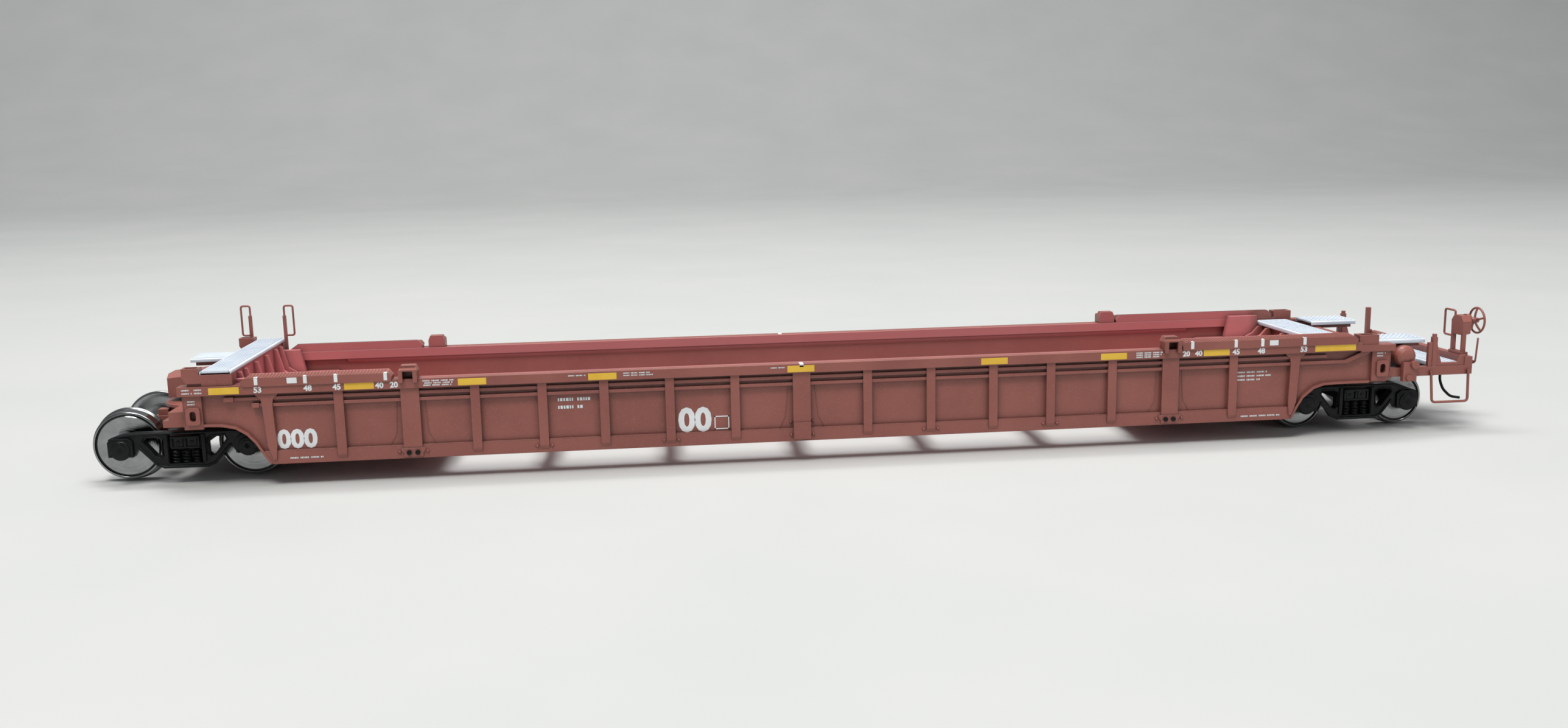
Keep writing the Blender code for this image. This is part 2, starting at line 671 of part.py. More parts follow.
def build_brake_stand():
    """Upright on the end beam: two legs, the gear housing and a grab loop."""
    base = 13.95 + GAP
    head = [(-15.0, 17.9), (-14.2, 17.6), (-12.3, 17.6), (-11.5, 17.9)]
    head += [(-11.4, 20.2), (-12.2, 21.2), (-14.3, 21.2), (-15.1, 20.2)]
    adds = [extrude(head, 124.4, 126.0, "X")]
    adds.append(box(124.45, 125.15, -15.1, -14.5, base, 18.2))
    adds.append(box(124.45, 125.15, -12.0, -11.4, base, 18.2))
    adds.append(box(124.3, 125.45, -15.4, -11.1, base, 14.5))
    corners = [(124.8, -11.9, 17.1), (124.8, -11.9, 21.9), (124.8, -8.7, 21.9), (124.8, -8.7, 17.1)]
    adds.append(rod(loop_path(corners, 0.45), 0.2, 8, closed=True))
    bore = cylinder("X", (0, BRAKE_Y, BRAKE_Z), 0.35, 124.8, 127.0, 16)
    return node("brake_stand", PAINT, adds, [bore])


BRAKE_Y = -13.2
BRAKE_Z = 20.1
BRAKE_X = 128.3


def build_brake_wheel():
    centre = (BRAKE_X, BRAKE_Y, BRAKE_Z)
    steps = 28
    major, minor = 2.35, 0.2
    points = []
    faces = []
    for i in range(steps):
        angle = 2 * math.pi * i / steps
        for k in range(6):
            turn = 2 * math.pi * (k + 0.5) / 6
            r = major + minor * math.cos(turn)
            along = minor * math.sin(turn)
            point = (centre[0] + along, centre[1] + r * math.cos(angle), centre[2] + r * math.sin(angle))
            points.append(point)
    for i in range(steps):
        for k in range(6):
            a = i * 6
            b = ((i + 1) % steps) * 6
            j = (k + 1) % 6
            faces.append([a + k, a + j, b + j, b + k])
    adds = [scratch(points, faces)]
    for k in range(5):
        angle = math.pi / 2 + 2 * math.pi * k / 5
        dy, dz = math.cos(angle), math.sin(angle)
        path = [(centre[0] - 0.45, centre[1], centre[2])]
        path.append((centre[0] - 0.35, centre[1] + dy * 1.2, centre[2] + dz * 1.2))
        path.append((centre[0], centre[1] + dy * major, centre[2] + dz * major))
        adds.append(rod(path, 0.17, 6))
    adds.append(cylinder("X", centre, 0.62, -1.3, 0.35, 16))
    adds.append(cylinder("X", centre, 0.3, -3.4, 0.0, 16))
    return node("brake_wheel", PAINT, adds, origin=centre)


def build_lever():
    """Uncoupling lever across the end beam, with its upright handle at the corner."""
    path = [(126.3, -1.4, 11.9), (126.3, -2.6, 12.7), (126.3, -16.5, 12.7), (126.6, -16.5, 17.3)]
    adds = [rod(rounded(path, 0.5), 0.18, 8)]
    for y in (-9.9, -15.6):
        adds.append(box(125.5 + GAP, 126.5, y - 0.3, y + 0.3, 12.4, 13.0))
    return node("uncoupling_lever", PAINT, adds)


# ---- coupler -----------------------------------------------------------------------------------

COUPLER_Z = 9.65
COUPLER_PIVOT_X = 119.4


def build_coupler_box():
    """Draft gear box under the centre sill, open at its mouth, with the coupler's pivot pin."""
    shell = box(116.0, 126.6, -3.4, 3.4, 7.9, 11.25 - GAP)
    pocket = box(116.8, 127.0, -2.8, 2.8, 8.6, 10.7)
    pin = cylinder("Z", (COUPLER_PIVOT_X, 0, 0), 0.75, 8.2, 11.0, 16)
    return node_with_late_pin("coupler_box", [shell], [pocket], pin, PLASTIC)


def node_with_late_pin(name, adds, cuts, pin, finish=PAINT):
    """The cuts are taken first and the pin is joined after them."""
    first = adds[0]
    stack(first, adds[1:], cuts)
    return node(name, finish, [first, pin])


def stack(first, joined, cuts):
    """Joins and cuts one piece at a time, in this order."""
    steps = [(piece, "UNION") for piece in joined] + [(piece, "DIFFERENCE") for piece in cuts]
    for number, (piece, operation) in enumerate(steps):
        step = first.modifiers.new(f"step{number}", "BOOLEAN")
        step.operation = operation
        step.solver = "EXACT"
        step.object = piece


def build_coupler():
    z = COUPLER_Z
    hole = cylinder("Z", (COUPLER_PIVOT_X, 0, 0), 0.8, 7.0, 12.0, 20)
    adds = [cylinder("Z", (COUPLER_PIVOT_X, 0, 0), 1.7, z - 0.75, z + 0.75, 24)]
    adds.append(box(119.6, 128.9, -0.95, 0.95, z - 0.75, z + 0.75))
    head = [(128.2, -1.1), (129.4, -2.2), (132.2, -2.2), (132.9, -1.6), (132.0, -0.9), (130.5, -0.75)]
    head += [(130.5, 0.9), (131.0, 1.35), (131.0, 2.25), (129.2, 2.25), (128.2, 1.1)]
    adds.append(extrude(head, z - 1.45, z + 1.45, "Z"))
    hose = [(129.6, -0.6, z - 1.2), (129.6, -0.6, 6.4), (130.1, -1.0, 4.6)]
    hose += [(131.3, -1.7, 3.2), (132.9, -2.4, 3.0)]
    adds.append(rod(rounded(hose, 0.6), 0.26, 8))
    slot = box(129.5, 134.0, 1.0, 3.2, z - 0.85, z + 0.85)
    pin = cylinder("Z", (130.25, 1.7, 0), 0.3, z - 1.2, z + 1.2, 14)
    stack(adds[0], adds[1:], [hole, slot])
    return node("coupler", PLASTIC, [adds[0], pin], origin=(COUPLER_PIVOT_X, 0, z))


def build_knuckle():
    z = COUPLER_Z
    outline = [(129.8, 1.35), (130.5, 1.1), (131.2, 1.05), (131.6, 0.7), (132.5, 0.55), (133.3, 0.75)]
    outline += [(133.55, 1.3), (133.0, 1.9), (131.8, 2.2), (130.6, 2.25), (129.85, 2.15)]
    adds = [extrude(outline, z - 0.8, z + 0.8, "Z")]
    hole = cylinder("Z", (130.25, 1.7, 0), 0.35, z - 2, z + 2, 16)
    return node("knuckle", PLASTIC, adds, [hole], origin=(130.25, 1.7, z))


# ---- trucks ------------------------------------------------------------------------------------


def window(points, y0, y1):
    return extrude(points, y0, y1, "Y")


def build_sideframe(name, cx, sign, base, axle_z, top, foot):
    """One cast side frame: arched top, jaws, two windows and the spring pocket."""
    half = base / 2
    rise = [(half - 2.2, top), (half + 0.6, axle_z + 2.4), (half + 2.0, axle_z + 1.9)]
    rise += [(half + 2.1, axle_z - 0.2), (half + 1.4, axle_z - 1.35), (half - 1.9, axle_z - 1.35)]
    rise += [(half - 2.9, axle_z + 0.2)]
    rise += [(half - 3.3, axle_z + 0.3), (4.6, foot + 0.5), (3.7, foot)]
    outline = rise + [(-x, z) for x, z in reversed(rise)]
    adds = [extrude([(cx + x, z) for x, z in outline], *span(sign, FRAME_IN, FRAME_OUT), "Y")]
    cuts = []
    low, high = span(sign, FRAME_IN - 1.0, CAP_OUT + 1.0)
    for side in (-1, 1):
        hole = [(3.75, top - 1.3), (4.5, top - 0.95), (6.6, top - 0.95), (6.9, top - 1.55)]
        hole += [(4.9, top - 4.1), (4.2, top - 4.4), (3.8, top - 4.0)]
        cuts.append(extrude([(cx + side * x, z) for x, z in hole], low, high, "Y"))
        axle = (cx + side * half, 0, axle_z)
        adds.append(cylinder("Y", axle, 1.75, *span(sign, FRAME_IN + 0.5, CAP_OUT), 20))
        adds.append(cylinder("Y", axle, 0.95, *span(sign, FRAME_IN + 0.5, CAP_OUT + 0.3), 14))
        cuts.append(cylinder("Y", axle, JOURNAL_R + 0.05, *span(sign, FRAME_IN - 0.5, FRAME_IN + 0.75), 16))
    seat = foot + 0.8
    cuts.append(box(cx - 2.75, cx + 2.75, low, high, seat, top - 0.4))
    stack(adds[0], adds[1:], cuts)
    return node(name, PLASTIC, [adds[0], *spring_nest(cx, sign, seat, top - 3.1)])


def spring_nest(cx, sign, low, high):
    """Three coil springs on a seat, moulded in one with the side frame."""
    y = sign * (FRAME_IN + FRAME_OUT) / 2
    made = []
    for dx in (-1.75, 0.0, 1.75):
        profile = [(low - 0.3, 0.5)]
        turns = 3
        pitch = (high - low) / turns
        for i in range(turns):
            z = low + i * pitch
            profile += [(z + 0.08, 0.46), (z + 0.5 * pitch, 0.7), (z + pitch - 0.08, 0.46)]
        made.append(lathe(profile, "Z", (cx + dx, y, 0), 8))
    return made


def build_bolster(name, cx, top, plate_top):
    """Cross bolster through both pockets, with its round centre plate and pin hole."""
    low = top - 3.0
    high = top - 0.85
    adds = [box(cx - 2.55, cx + 2.55, -12.95, 12.95, low, high)]
    adds.append(box(cx - 2.4, cx + 2.4, -10.6, 10.6, low, high + 0.4))
    adds.append(cylinder("Z", (cx, 0, 0), 3.4, high, plate_top, 28))
    for sign in (-1, 1):
        near, far = span(sign, 12.4, 13.15)
        adds.append(box(cx - 1.9, cx - 0.4, near, far, low + 0.3, high - 0.3))
        adds.append(box(cx + 0.4, cx + 1.9, near, far, low + 0.3, high - 0.3))
    hole = cylinder("Z", (cx, 0, 0), 0.85, low - 1.0, plate_top + 1.0, 20)
    return node(name, PLASTIC, adds, [hole])


def build_axle(name, x, z):
    steps = 16
    profile = [(-AXLE_END, 0.3), (-AXLE_END + 0.4, JOURNAL_R)]
    profile += [(-WHEEL_FACE - 0.15, JOURNAL_R), (-WHEEL_FACE - 0.1, 0.98)]
    profile += [(-BACK_HALF + 0.1, 0.98), (-BACK_HALF + 0.15, AXLE_R), (BACK_HALF - 0.15, AXLE_R)]
    profile += [(BACK_HALF - 0.1, 0.98), (WHEEL_FACE + 0.1, 0.98), (WHEEL_FACE + 0.15, JOURNAL_R)]
    profile += [(AXLE_END - 0.4, JOURNAL_R), (AXLE_END, 0.3)]
    return node(name, METAL, [lathe(profile, "Y", (x, 0, z), steps)], origin=(x, 0, z))


def build_wheel(name, x, z, sign, rim, flange):
    """Turned wheel pressed on its axle: flange at the back, tapered tread, groove inside the rim."""
    steps = 32
    bore = 1.0
    half = [(BACK_HALF, bore), (BACK_HALF, flange - 0.22), (BACK_HALF + 0.28, flange)]
    half += [(BACK_HALF + 0.52, flange - 0.06)]
    half += [(BACK_HALF + 0.78, rim + 0.08), (WHEEL_FACE - 0.12, rim), (WHEEL_FACE, rim - 0.1)]
    half += [(WHEEL_FACE, rim - 0.62), (WHEEL_FACE - 0.45, rim - 0.66), (WHEEL_FACE - 0.45, rim - 0.92)]
    half += [(WHEEL_FACE - 0.12, rim - 0.96), (WHEEL_FACE - 0.05, 1.9)]
    half += [(WHEEL_FACE + 0.05, 1.8), (WHEEL_FACE + 0.05, bore)]
    points = []
    faces = []
    count = len(half)
    for i in range(steps):
        angle = 2 * math.pi * i / steps
        for y, r in half:
            points.append((x + r * math.cos(angle), sign * y, z + r * math.sin(angle)))
    for i in range(steps):
        a = i * count
        b = ((i + 1) % steps) * count
        for k in range(count):
            j = (k + 1) % count
            faces.append([a + k, a + j, b + j, b + k])
    return node(name, METAL, [scratch(points, faces)], origin=(x, 0, z))


def build_truck(tag, cx, base, axle_z, rim, flange, top, foot, plate_top):
    for side, sign in (("near", -1), ("far", 1)):
        build_sideframe(f"truck_{tag}_frame_{side}", cx, sign, base, axle_z, top, foot)
    build_bolster(f"truck_{tag}_bolster", cx, top, plate_top)
    for number, side in ((1, -1), (2, 1)):
        x = cx + side * base / 2
        build_axle(f"truck_{tag}_axle_{number}", x, axle_z)
        build_wheel(f"truck_{tag}_wheel_{number}_near", x, axle_z, -1, rim, flange)
        build_wheel(f"truck_{tag}_wheel_{number}_far", x, axle_z, 1, rim, flange)


def build_all():
    build_side("well_side_near", -1)
    build_side("well_side_far", 1)
    build_floor()
    build_bulkhead("bulkhead_a", -1)
    build_bulkhead("bulkhead_b", 1)
    build_deck_a()
    build_deck_b()
    build_connector()
    build_body_bolster("body_bolster_a", TRUCK_A_X, 10.55, None, 7.0)
    build_body_bolster("body_bolster_b", TRUCK_X, 10.6, 10.4, 3.45)
    build_platform()
    build_pedestal("pedestal_near", -1)
    build_pedestal("pedestal_far", 1)
    for side, tag in ((-1, "a"), (1, "b")):
        build_container_guide(f"container_guide_{tag}_near", -1, side)
        build_container_guide(f"container_guide_{tag}_far", 1, side)
        build_bracket(f"post_bracket_{tag}_near", -1, side)
        build_bracket(f"post_bracket_{tag}_far", 1, side)
    build_boards()
    build_board_brackets()
    build_grab("grab_loop_1", -103.7, -102.05, -102.1, 18.33)
    build_grab("grab_loop_2", -95.4, -93.75, -95.4, 17.0)
    build_stirrup("stirrup_near", -1)
    build_stirrup("stirrup_far", 1)
    build_reservoir()
    build_brake_stand()
    build_brake_wheel()
    build_lever()
    build_coupler_box()
    build_coupler()
    build_knuckle()
    build_truck("a", TRUCK_A_X, WHEELBASE_A, FLANGE_R_A, RIM_R_A, FLANGE_R_A, 9.2, 2.8, 10.15)
    build_truck("b", TRUCK_X, WHEELBASE_B, FLANGE_R_B, RIM_R_B, FLANGE_R_B, 8.75, 2.2, 10.35)


build_all()
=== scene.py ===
"""Looks of the HO scale container well car unit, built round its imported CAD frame.

Shapes are written in millimetres in the part's own layout and turned to metres by MM.
SHIFT_X is the same move along the car as in the CAD.
"""

import math

import bmesh
import bpy
from mathutils import Matrix, Vector


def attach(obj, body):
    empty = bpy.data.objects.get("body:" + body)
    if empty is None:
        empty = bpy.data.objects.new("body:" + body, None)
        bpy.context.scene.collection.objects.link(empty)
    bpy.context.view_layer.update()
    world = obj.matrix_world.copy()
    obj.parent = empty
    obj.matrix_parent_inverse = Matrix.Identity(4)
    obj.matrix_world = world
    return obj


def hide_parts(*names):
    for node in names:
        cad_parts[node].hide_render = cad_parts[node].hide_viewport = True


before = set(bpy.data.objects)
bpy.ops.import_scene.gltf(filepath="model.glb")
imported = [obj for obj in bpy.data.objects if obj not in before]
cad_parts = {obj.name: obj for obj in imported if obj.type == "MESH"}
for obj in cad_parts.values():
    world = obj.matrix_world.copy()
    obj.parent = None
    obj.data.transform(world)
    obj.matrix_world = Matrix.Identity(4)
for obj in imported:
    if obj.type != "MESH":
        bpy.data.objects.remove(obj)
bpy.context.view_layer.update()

MM = 0.001
SHIFT_X = -5.4

TRUCKS = {
    "a": dict(cx=-105.9, base=21.0, axle_z=6.35, rim=5.95, flange=6.35, top=9.2, foot=2.8),
    "b": dict(cx=105.2, base=19.8, axle_z=5.30, rim=4.95, flange=5.30, top=8.75, foot=2.2),
}
RIB_X = (11.7, 23.04, 34.33, 44.84, 56.16, 78.8)
POST_X = 67.0
WELL_END = 89.6
SHEET_OUT = 17.2
PLATE_OUT = 17.75
RIB_OUT = 18.0
CHORD_OUT = 18.3
GUIDE_OUT = 18.48


# ---- materials -------------------------------------------------------------------------------


class Shader:
    """A small helper that adds and joins nodes of one material."""

    def __init__(self, name):
        self.made = bpy.data.materials.new(name)
        self.made.use_nodes = True
        self.tree = self.made.node_tree
        self.bsdf = self.tree.nodes["Principled BSDF"]
        self.coords = self.add("ShaderNodeTexCoord").outputs["Object"]

    def add(self, kind, **settings):
        node = self.tree.nodes.new(kind)
        for key, value in settings.items():
            setattr(node, key, value)
        return node

    def join(self, source, target):
        self.tree.links.new(source, target)

    def noise(self, scale, detail=3.0, rough=0.55):
        node = self.add("ShaderNodeTexNoise")
        node.inputs["Scale"].default_value = scale
        node.inputs["Detail"].default_value = detail
        node.inputs["Roughness"].default_value = rough
        self.join(self.coords, node.inputs["Vector"])
        return node.outputs["Fac"]

    def remap(self, value, low, high, out_low, out_high):
        node = self.add("ShaderNodeMapRange")
        node.inputs["From Min"].default_value = low
        node.inputs["From Max"].default_value = high
        node.inputs["To Min"].default_value = out_low
        node.inputs["To Max"].default_value = out_high
        self.join(value, node.inputs["Value"])
        return node.outputs["Result"]

    def mix(self, factor, first, second, blend="MIX"):
        node = self.add("ShaderNodeMix", data_type="RGBA", blend_type=blend)
        for value, slot in ((factor, 0), (first, 6), (second, 7)):
            if hasattr(value, "links"):
                self.join(value, node.inputs[slot])
            else:
                node.inputs[slot].default_value = value
        return node.outputs[2]

    def edge(self, radius, samples=4):
        """Rounded normals, and how far they lean from the true ones."""
        bevel = self.add("ShaderNodeBevel", samples=samples)
        bevel.inputs["Radius"].default_value = radius
        geometry = self.add("ShaderNodeNewGeometry")
        dot = self.add("ShaderNodeVectorMath", operation="DOT_PRODUCT")
        self.join(bevel.outputs["Normal"], dot.inputs[0])
        self.join(geometry.outputs["Normal"], dot.inputs[1])
        return bevel.outputs["Normal"], self.remap(dot.outputs["Value"], 1.0, 0.75, 0.0, 1.0)

    def bump(self, height, strength, distance, normal=None):
        node = self.add("ShaderNodeBump")
        node.inputs["Strength"].default_value = strength
        node.inputs["Distance"].default_value = distance
        self.join(height, node.inputs["Height"])
        if normal is not None:
            self.join(normal, node.inputs["Normal"])
        return node.outputs["Normal"]


def paint(name, colour, deep, light, inner, rough=0.40, grain=0.25):
    """Satin sprayed paint: slow tone changes, fine grain, painted highlights on the edges, painted shade in
    the corners.

    The inner tone is used between the walls of the well: partly a pinker tint, partly painted light that
    makes the inner walls paler.
    """
    s = Shader(name)
    slow = s.remap(s.noise(90.0, 4.0), 0.35, 0.65, 0.0, 1.0)
    tone = s.mix(slow, (*deep, 1), (*colour, 1))
    split = s.add("ShaderNodeSeparateXYZ")
    s.join(s.coords, split.inputs[0])
    across = s.add("ShaderNodeMath", operation="ABSOLUTE")
    s.join(split.outputs["Y"], across.inputs[0])
    centred = s.add("ShaderNodeMath", operation="SUBTRACT")
    s.join(split.outputs["X"], centred.inputs[0])
    centred.inputs[1].default_value = SHIFT_X * MM
    along = s.add("ShaderNodeMath", operation="ABSOLUTE")
    s.join(centred.outputs[0], along.inputs[0])
    # painted light: between the walls the tone turns paler and pinker, partly tint and partly painted light
    inside = s.add("ShaderNodeMath", operation="MULTIPLY")
    s.join(s.remap(across.outputs[0], 0.0158, 0.0166, 0.75, 0.0), inside.inputs[0])
    s.join(s.remap(along.outputs[0], 0.0965, 0.0985, 1.0, 0.0), inside.inputs[1])
    tone = s.mix(inside.outputs[0], tone, (*inner, 1))
    specks = s.remap(s.noise(5200.0, 2.0), 0.60, 0.75, 0.0, 0.35)
    tone = s.mix(specks, tone, (*light, 1))
    # painted highlight: the edges are made paler, in patches, as if light caught them
    normal, edge_sheen = s.edge(0.00011)
    patchy_sheen = s.add("ShaderNodeMath", operation="MULTIPLY")
    s.join(edge_sheen, patchy_sheen.inputs[0])
    s.join(s.remap(s.noise(700.0, 3.0), 0.35, 0.7, 0.15, 0.75), patchy_sheen.inputs[1])
    tone = s.mix(patchy_sheen.outputs[0], tone, (*light, 1))
    # painted shade: occlusion darkens corners, creases and the hollows under the ridges
    hollow = s.add("ShaderNodeAmbientOcclusion", samples=4)
    hollow.inputs["Distance"].default_value = 0.0016
    shade = s.remap(hollow.outputs["AO"], 0.25, 0.95, 0.45, 1.0)
    grey = s.add("ShaderNodeCombineColor")
    for channel in grey.inputs:
        s.join(shade, channel)
    tone = s.mix(1.0, tone, grey.outputs[0], "MULTIPLY")
    s.join(tone, s.bsdf.inputs["Base Color"])
    gloss = s.remap(s.noise(900.0, 3.0), 0.3, 0.7, rough - 0.07, rough + 0.1)
    s.join(gloss, s.bsdf.inputs["Roughness"])
    s.join(s.bump(s.noise(4200.0, 3.0), grain, 0.00002, normal), s.bsdf.inputs["Normal"])
    return s.made


def plain(name, colour, other, rough, grain_scale=4500.0, grain=0.2, shine=0.5):
    """Moulded or printed surface with fine grain, uneven gloss and painted highlights on its edges."""
    s = Shader(name)
    slow = s.remap(s.noise(260.0, 3.0), 0.35, 0.65, 0.0, 1.0)
    tone = s.mix(slow, (*colour, 1), (*other, 1))
    normal, edge_sheen = s.edge(0.00009)
    # painted highlight: the edges are made paler, as if light caught them
    faint = s.remap(edge_sheen, 0.0, 1.0, 0.0, 0.3)
    tone = s.mix(faint, tone, (*[min(1.0, c * 1.6 + 0.03) for c in colour], 1))
    s.join(tone, s.bsdf.inputs["Base Color"])
    s.bsdf.inputs["Specular IOR Level"].default_value = shine
    gloss = s.remap(s.noise(1400.0, 3.0), 0.3, 0.7, rough - 0.08, rough + 0.1)
    s.join(gloss, s.bsdf.inputs["Roughness"])
    s.join(s.bump(s.noise(grain_scale, 3.0), grain, 0.000015, normal), s.bsdf.inputs["Normal"])
    return s.made


def turned_metal(name):
    """Bright plated metal with concentric tool marks round the piece's own Y axis."""
    s = Shader(name)
    split = s.add("ShaderNodeSeparateXYZ")
    s.join(s.coords, split.inputs[0])
    flat = s.add("ShaderNodeCombineXYZ")
    s.join(split.outputs["X"], flat.inputs["X"])
    s.join(split.outputs["Z"], flat.inputs["Z"])
    length = s.add("ShaderNodeVectorMath", operation="LENGTH")
    s.join(flat.outputs[0], length.inputs[0])
    fine = s.add("ShaderNodeTexNoise", noise_dimensions="1D")
    fine.inputs["Scale"].default_value = 9000.0
    fine.inputs["Detail"].default_value = 2.0
    s.join(length.outputs["Value"], fine.inputs["W"])
    marks = s.remap(fine.outputs["Fac"], 0.3, 0.7, 0.0, 1.0)
    smudge = s.remap(s.noise(500.0, 4.0), 0.35, 0.7, 0.0, 1.0)
    tone = s.mix(smudge, (0.30, 0.31, 0.31, 1), (0.22, 0.23, 0.23, 1))
    s.join(tone, s.bsdf.inputs["Base Color"])
    s.bsdf.inputs["Metallic"].default_value = 1.0
    s.join(s.remap(smudge, 0.0, 1.0, 0.09, 0.18), s.bsdf.inputs["Roughness"])
    s.bsdf.inputs["Anisotropic"].default_value = 0.35
    s.join(s.bump(marks, 0.35, 0.000012), s.bsdf.inputs["Normal"])
    return s.made


BODY = paint(
    "oxide_paint",
    colour=(0.280, 0.090, 0.070),
    deep=(0.235, 0.072, 0.056),
    light=(0.50, 0.22, 0.19),
    inner=(0.58, 0.19, 0.20),
)
GREY = plain("walkway_paint", (0.56, 0.62, 0.70), (0.64, 0.69, 0.76), 0.5, 5200.0, 0.3)
BLACK = plain(
    "black_moulding", (0.003, 0.004, 0.004), (0.006, 0.008, 0.008), 0.36, 4200.0, 0.2, shine=0.22
)
WHEEL = turned_metal("turned_nickel")
# painted shade: the near-black colour stands in for the shadow in the wheel's groove
GROOVE_SHADE = plain("wheel_groove_shade", (0.010, 0.010, 0.010), (0.02, 0.02, 0.02), 0.5)
YELLOW = plain("marking_yellow", (0.72, 0.43, 0.035), (0.78, 0.49, 0.05), 0.42, 6000.0, 0.1)
WHITE = plain("marking_white", (0.80, 0.82, 0.83), (0.72, 0.74, 0.75), 0.42, 6000.0, 0.1)


# ---- mesh building ---------------------------------------------------------------------------


class Build:
    """Collects closed shells in millimetres and makes one piece of them."""

    def __init__(self):
        self.points = []
        self.faces = []
        self.slots = []

    def shell(self, points, faces, slot=0):
        start = len(self.points)
        self.points += [tuple(p) for p in points]
        self.faces += [[start + i for i in face] for face in faces]
        self.slots += [slot] * len(faces)

    def extrude(self, outline, low, high, axis, slot=0):
        def place(a, b, c):
            return {"X": (c, a, b), "Y": (a, c, b), "Z": (a, b, c)}[axis]

        count = len(outline)
        points = [place(a, b, low) for a, b in outline] + [place(a, b, high) for a, b in outline]
        faces = [list(range(count)), list(range(2 * count - 1, count - 1, -1))]
        faces += [[i, (i + 1) % count, (i + 1) % count + count, i + count] for i in range(count)]
        self.shell(points, faces, slot)

    def box(self, x0, x1, y0, y1, z0, z1, slot=0):
        self.extrude([(x0, y0), (x1, y0), (x1, y1), (x0, y1)], z0, z1, "Z", slot)

    def lathe(self, profile, axis, centre, steps, slots=None, slot=0):
        """profile: (along, radius) pairs. Ends are closed with flat caps."""
        rings = []
        for along, radius in profile:
            made = []
            for i in range(steps):
                angle = 2 * math.pi * i / steps
                a, b = radius * math.cos(angle), radius * math.sin(angle)
                if axis == "Y":
                    made.append((centre[0] + a, centre[1] + along, centre[2] + b))
                elif axis == "X":
                    made.append((centre[0] + along, centre[1] + a, centre[2] + b))
                else:
                    made.append((centre[0] + a, centre[1] + b, centre[2] + along))
            rings.append(made)
        points = [p for made in rings for p in made]
        last = (len(rings) - 1) * steps
        self.shell(points, [list(range(steps)), list(range(last + steps - 1, last - 1, -1))], slot)
        start = len(self.points) - len(points)
        for k in range(len(rings) - 1):
            chosen = slots[k] if slots else slot
            for i in range(steps):
                j = (i + 1) % steps
                a = start + k * steps
                self.faces.append([a + i, a + j, a + steps + j, a + steps + i])
                self.slots.append(chosen)

    def ring(self, profile, centre, steps):
        """Turns a closed profile of (along, radius) pairs about the X axis, leaving a bore."""
        count = len(profile)
        points = []
        for i in range(steps):
            angle = 2 * math.pi * i / steps
            for along, radius in profile:
                y = centre[1] + radius * math.cos(angle)
                points.append((centre[0] + along, y, centre[2] + radius * math.sin(angle)))
        faces = []
        for i in range(steps):
            a, c = i * count, ((i + 1) % steps) * count
            for k in range(count):
                j = (k + 1) % count
                faces.append([a + k, a + j, c + j, c + k])
        self.shell(points, faces)

    def tube(self, path, radius, steps=10, closed=False, slot=0):
        """A round bar that follows a path of points."""
        pts = [Vector(p) for p in path]
        count = len(pts)
        side = None
        points = []
        for i, point in enumerate(pts):
            before = pts[i - 1] if (i > 0 or closed) else point
            after = pts[(i + 1) % count] if (i < count - 1 or closed) else point
            ahead = (after - before).normalized()
            if side is None:
                guess = Vector((0, 0, 1)) if abs(ahead.z) < 0.9 else Vector((0, 1, 0))
                side = guess.cross(ahead).normalized()
            side = (side - ahead * side.dot(ahead)).normalized()
            other = ahead.cross(side)
            for k in range(steps):
                angle = 2 * math.pi * k / steps
                first = side * radius * math.cos(angle)
                points.append(point + first + other * radius * math.sin(angle))
        faces = []
        for k in range(count if closed else count - 1):
            a, b = k * steps, ((k + 1) % count) * steps
            faces += [[a + i, a + (i + 1) % steps, b + (i + 1) % steps, b + i] for i in range(steps)]
        if not closed:
            last = (count - 1) * steps
            faces += [list(range(steps)), list(range(last + steps - 1, last - 1, -1))]
        self.shell(points, faces, slot)

    def bolt(self, centre, radius, height, axis, sign, slot=0):
        """A low domed bolt head on a surface."""
        profile = [(-0.05, radius), (0.0, radius), (height * 0.6, radius * 0.85), (height, radius * 0.4)]
        if sign < 0:
            profile = [(-a, r) for a, r in reversed(profile)]
        self.lathe(profile, axis, centre, 10, slot=slot)

    def finish(self, name, body, materials, replaces=(), bevel=0.0, angle=32.0, origin=None):
        mesh = bpy.data.meshes.new(name)
        shift = Vector((SHIFT_X, 0, 0))
        base = Vector(origin) if origin else Vector((-SHIFT_X, 0, 0))
        mesh.from_pydata([(Vector(p) - base) * MM for p in self.points], [], self.faces)
        for material in materials:
            mesh.materials.append(material)
        for face, slot in zip(mesh.polygons, self.slots):
            face.material_index = slot
        work = bmesh.new()
        work.from_mesh(mesh)
        bmesh.ops.recalc_face_normals(work, faces=work.faces)
        if bevel:
            sharp = math.radians(28)
            edges = [e for e in work.edges if e.is_manifold and e.calc_face_angle(0) > sharp]
            bmesh.ops.bevel(
                work,
                geom=edges,
                offset=bevel * MM,
                segments=2,
                affect="EDGES",
                clamp_overlap=True,
                profile=0.5,
            )
        work.to_mesh(mesh)
        work.free()
        mesh.shade_smooth()
        mesh.set_sharp_from_angle(angle=math.radians(angle))
        obj = bpy.data.objects.new(name, mesh)
        obj.location = (base + shift) * MM
        bpy.context.scene.collection.objects.link(obj)
        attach(obj, body)
        if replaces:
            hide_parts(*replaces)
        return obj


def rounded(path, radius, steps=4):
    pts = [Vector(p) for p in path]
    out = [pts[0]]
    for i in range(1, len(pts) - 1):
        first = pts[i] + (pts[i - 1] - pts[i]).normalized() * radius
        second = pts[i] + (pts[i + 1] - pts[i]).normalized() * radius
        for k in range(steps + 1):
            t = k / steps
            out.append(first * (1 - t) ** 2 + pts[i] * 2 * t * (1 - t) + second * t * t)
    out.append(pts[-1])
    return out


def loop(points, radius):
    middle = (Vector(points[0]) + Vector(points[-1])) / 2
    return rounded([middle, *points, middle], radius)[:-1]


def span(sign, inner, outer):
    return sorted((sign * inner, sign * outer))


def paint_nodes(names, material):
    for name in names:
        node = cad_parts[name]
        node.data.materials.clear()
        node.data.materials.append(material)


